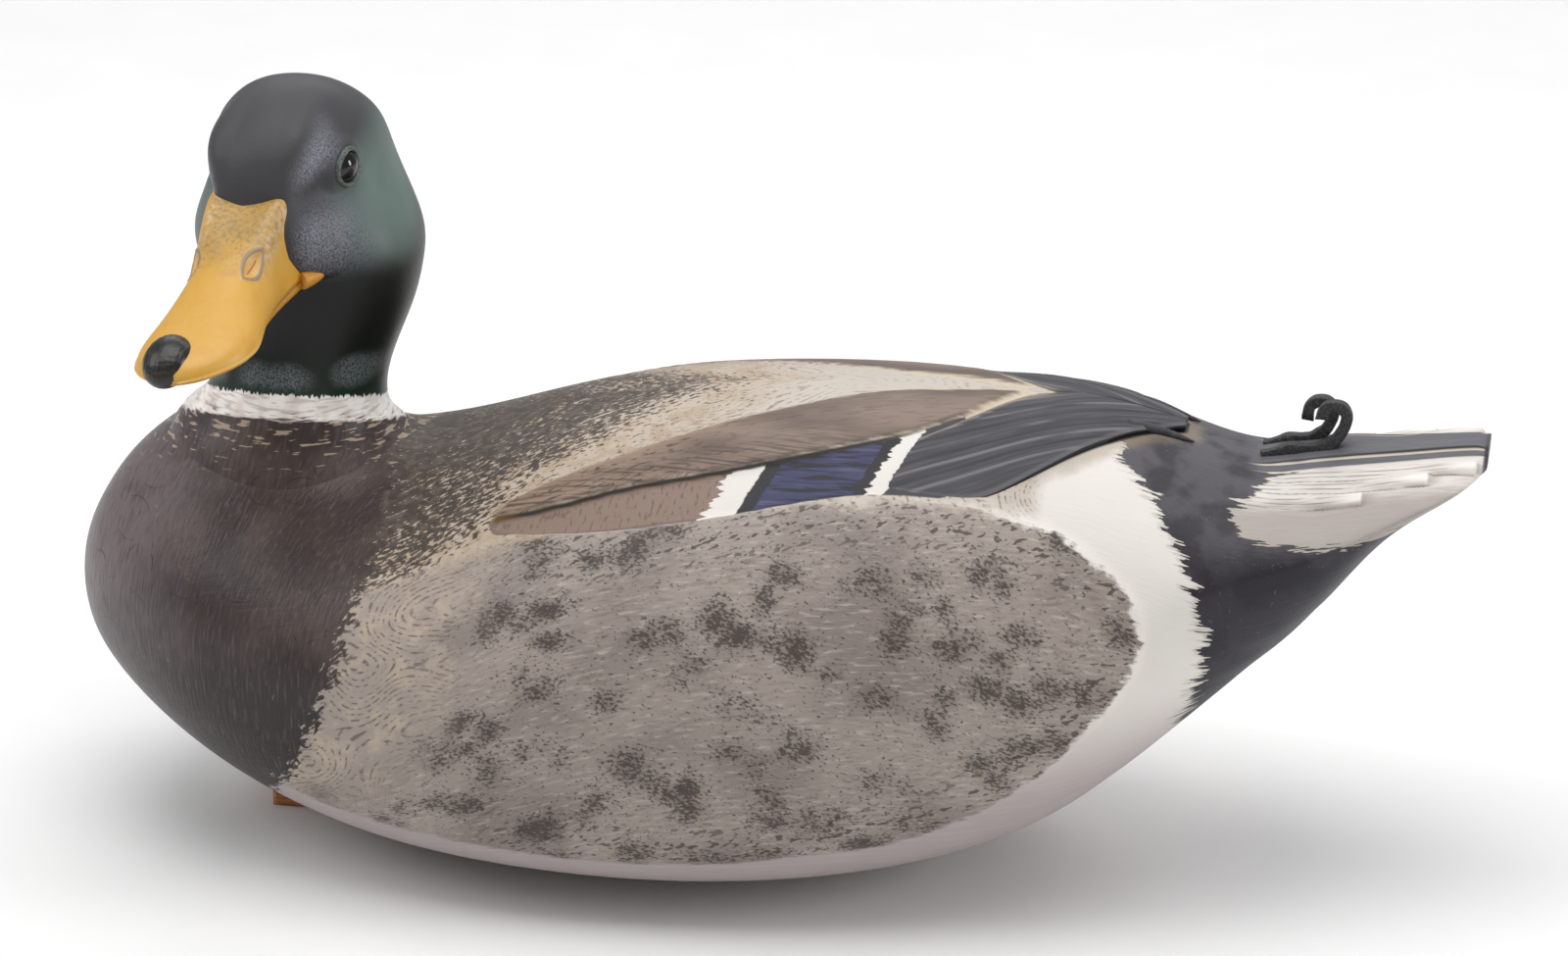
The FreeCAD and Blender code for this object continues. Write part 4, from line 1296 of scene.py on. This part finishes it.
def curl_piece(side, random):
    """Bent square strip with worn corners."""
    y = side * CURL_SPACING
    run, turns, tip = CURL_PATHS[side]
    places, headings = [], []
    for step in np.linspace(0, run, 26):
        places.append(np.array(CURL_START) + (step, -2.2 * smooth(step, 8, 0)))
        headings.append(0.3 * smooth(step, 8, 0))
    heading, place = 0.0, places[-1]
    for radius, angle in turns:
        centre = place + radius * np.array((-math.sin(heading), math.cos(heading)))
        for share in np.linspace(0, 1, 30)[1:]:
            way = heading + math.radians(angle) * share
            places.append(centre - radius * np.array((-math.sin(way), math.cos(way))))
            headings.append(way)
        heading, place = heading + math.radians(angle), places[-1]
    for step in np.linspace(0, tip, 6)[1:]:
        places.append(place + step * np.array((math.cos(heading), math.sin(heading))))
        headings.append(heading)
    count, around = len(places), 32
    turn = np.linspace(0, 2 * math.pi, around, endpoint=False)
    wobble = random.normal(0, 1, (count, around))
    for _ in range(6):
        wobble = (np.roll(wobble, 1, 1) + wobble + np.roll(wobble, -1, 1)) / 3
        wobble[1:-1] = (wobble[:-2] + wobble[1:-1] + wobble[2:]) / 3
    grid = []
    for i, (spot, way) in enumerate(zip(places, headings)):
        taper = 0.86 + 0.14 * smooth(np.array(i / count), 0.0, 0.3)
        end = 1 - 0.12 * smooth(np.array(i / count), 0.975, 1.0)
        half = CURL_SIDE / 2 * taper * end * (1 + 0.35 * wobble[i])
        across = half * signed_power(np.cos(turn), CURL_CORNER)
        over = half * signed_power(np.sin(turn), CURL_CORNER)
        grid.append(stack(spot[0] - over * math.sin(way), y + across, spot[1] + over * math.cos(way)))
    return grid_object("tail_curl_carved_" + ("left" if side < 0 else "right"), np.array(grid))


def curl_material():
    return worn_material("tail_curl_black", (srgb(34, 34, 36), srgb(84, 84, 84)), 0.7, (0.42, 0.75), 1.0,
                         0.35, (0.3, 0.35), detail=4, rough=0.7, Specular_IOR_Level=0.5)


# ---- keel and hardware -----------------------------------------------------

def wood_material(name, light, dark, roughness, varnish=0.0):
    """Straight-grained wood along X; varnish adds a clear coat."""
    paint = Paint(name, roughness, Coat_Weight=varnish, Coat_Roughness=0.25)
    grain = paint.place.noise(2.2, (0.06, 1, 1), detail=4, rough=0.6)
    pores = paint.place.noise(0.5, (0.05, 1, 1), detail=2)
    colour = mix(light, dark, grain.rise(0.35, 0.7))
    colour = mix(colour, dark, pores.rise(0.6, 0.75) * 0.6)
    return paint.finish(colour, grain * 0.5 + pores * 0.5, 0.15, pores * 0.15 + roughness)


def metal_material(name, light, dark, roughness):
    """Turned or cast metal, dulled unevenly."""
    paint = Paint(name, roughness, Metallic=0.9)
    tarnish = paint.place.noise(3.0, detail=4, rough=0.6)
    scratch = paint.place.noise(0.4, (1, 1, 0.2), detail=2)
    colour = mix(light, dark, tarnish.rise(0.4, 0.7))
    return paint.finish(colour, scratch, 0.05, tarnish * 0.3 + roughness)


# ---- assembly --------------------------------------------------------------

def coat(obj, material):
    obj.data.materials.clear()
    obj.data.materials.append(material)


def place(obj, material, slot, *nodes):
    """Finish a piece, fix it to the decoy and hide the CAD nodes that it stands for."""
    coat(obj, material)
    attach(obj, "decoy")
    if nodes:
        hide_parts(*nodes)


def build_duck():
    random = np.random.default_rng(SEED + 1)
    hull_paint = hull_material()
    upper, lower = hull_pieces()
    place(upper, hull_paint, "body_paint", "body_upper")
    place(lower, hull_paint, "body_paint", "body_lower")
    place(head_piece(), head_material(), "head_paint", "head")
    place(bill_piece(), bill_material(), "bill_paint", "bill")
    place(nail_piece(), nail_material(), "bill_paint")
    glass_paint, rim_paint = eye_glass_material(), putty_material()
    for side, name in ((1, "left"), (-1, "right")):
        glass, rim = eye_pieces(side)
        place(glass, glass_paint, "eye_glass", "eye_glass_" + name)
        place(rim, rim_paint, "eye_putty", "eye_putty_" + name)
    tip_paint, curl_paint = wing_tip_material(), curl_material()
    for side, name in ((-1, "left"), (1, "right")):
        place(wing_tip_piece(side), tip_paint, "wing_paint", "primaries_" + name)
        place(curl_piece(side, random), curl_paint, "curl_paint", "tail_curl_" + name)

    varnished = wood_material("keel_varnished", srgb(186, 112, 48), srgb(120, 62, 22), 0.35, 0.5)
    bare = wood_material("dowel_birch", srgb(214, 182, 138), srgb(176, 138, 92), 0.6)
    steel = metal_material("steel_zinc", srgb(186, 188, 192), srgb(120, 120, 118), 0.3)
    brass = metal_material("brass_aged", srgb(198, 164, 92), srgb(118, 88, 42), 0.32)
    lead = metal_material("lead_cast", srgb(126, 128, 134), srgb(84, 86, 92), 0.5)
    finishes = {
        "keel": varnished, "body_dowels": bare, "neck_dowels": bare, "bill_dowel": bare,
        "neck_lag_screw": steel, "neck_washer": steel, "eye_wires": steel, "keel_screws": brass,
        "ballast_screws": brass, "ballast_slugs": lead, "line_tie_staple": brass, "line_tie_ring": brass,
    }
    for node, material in finishes.items():
        coat(bpy.data.objects[node], material)


# ---- studio ----------------------------------------------------------------

CAMERA_AZIMUTH, CAMERA_ELEVATION = 10, 21
CAMERA_TARGET = Vector((0.0555, 0, 0.10694))
CAMERA_DISTANCE = 1.5
SENSOR, LENS = 36, 124.13
WORLD_STRENGTH = 0.34
LIGHT_TARGET = Vector((0.04, 0, 0.1))
# Softboxes: azimuth, elevation, distance, width and height, power in watts.
SOFTBOXES = {
    "overhead": (0, 84, 1.5, (1.6, 1.2), 19),
    "key_left": (-72, 36, 1.6, (0.8, 0.8), 6),
    "fill_right": (88, 16, 1.8, (0.4, 0.75), 9),
    "back_wall": (180, 40, 2.2, (2.4, 1.0), 14),
}


def away(azimuth, elevation):
    """Direction from the object: azimuth 0 faces its left side."""
    a, e = math.radians(azimuth), math.radians(elevation)
    return Vector((math.sin(a) * math.cos(e), -math.cos(a) * math.cos(e), math.sin(e)))


def look(obj, location, target):
    obj.location = location
    obj.rotation_euler = (target - location).to_track_quat("-Z", "Y").to_euler()


def camera():
    data = bpy.data.cameras.new("camera")
    data.sensor_width, data.lens = SENSOR, LENS
    obj = new_object("camera", data)
    back = away(CAMERA_AZIMUTH, CAMERA_ELEVATION)
    look(obj, CAMERA_TARGET + back * CAMERA_DISTANCE, CAMERA_TARGET)
    bpy.context.scene.camera = obj


def softbox(name, azimuth, elevation, distance, size, power):
    data = bpy.data.lights.new(name, "AREA")
    data.shape, data.size, data.size_y = "RECTANGLE", size[0], size[1]
    data.energy = power
    look(new_object(name, data), LIGHT_TARGET + away(azimuth, elevation) * distance, LIGHT_TARGET)


def floor():
    bpy.ops.mesh.primitive_plane_add(size=14, location=(0, 0, 0))
    obj = bpy.context.active_object
    obj.name = "floor"
    paint = Paint("floor_paper", 0.9)
    mottled = paint.place.noise(40, detail=2)
    colour = mix(srgb(238, 238, 238), srgb(243, 243, 243), mottled)
    obj.data.materials.append(paint.finish(colour))


def studio():
    scene = bpy.context.scene
    scene.view_settings.view_transform = "Standard"
    world = bpy.data.worlds.new("studio")
    world.use_nodes = True
    background = world.node_tree.nodes["Background"]
    background.inputs["Color"].default_value = (1, 1, 1, 1)
    background.inputs["Strength"].default_value = WORLD_STRENGTH
    scene.world = world
    for name, box in SOFTBOXES.items():
        softbox(name, *box)


camera()
floor()
studio()
build_duck()
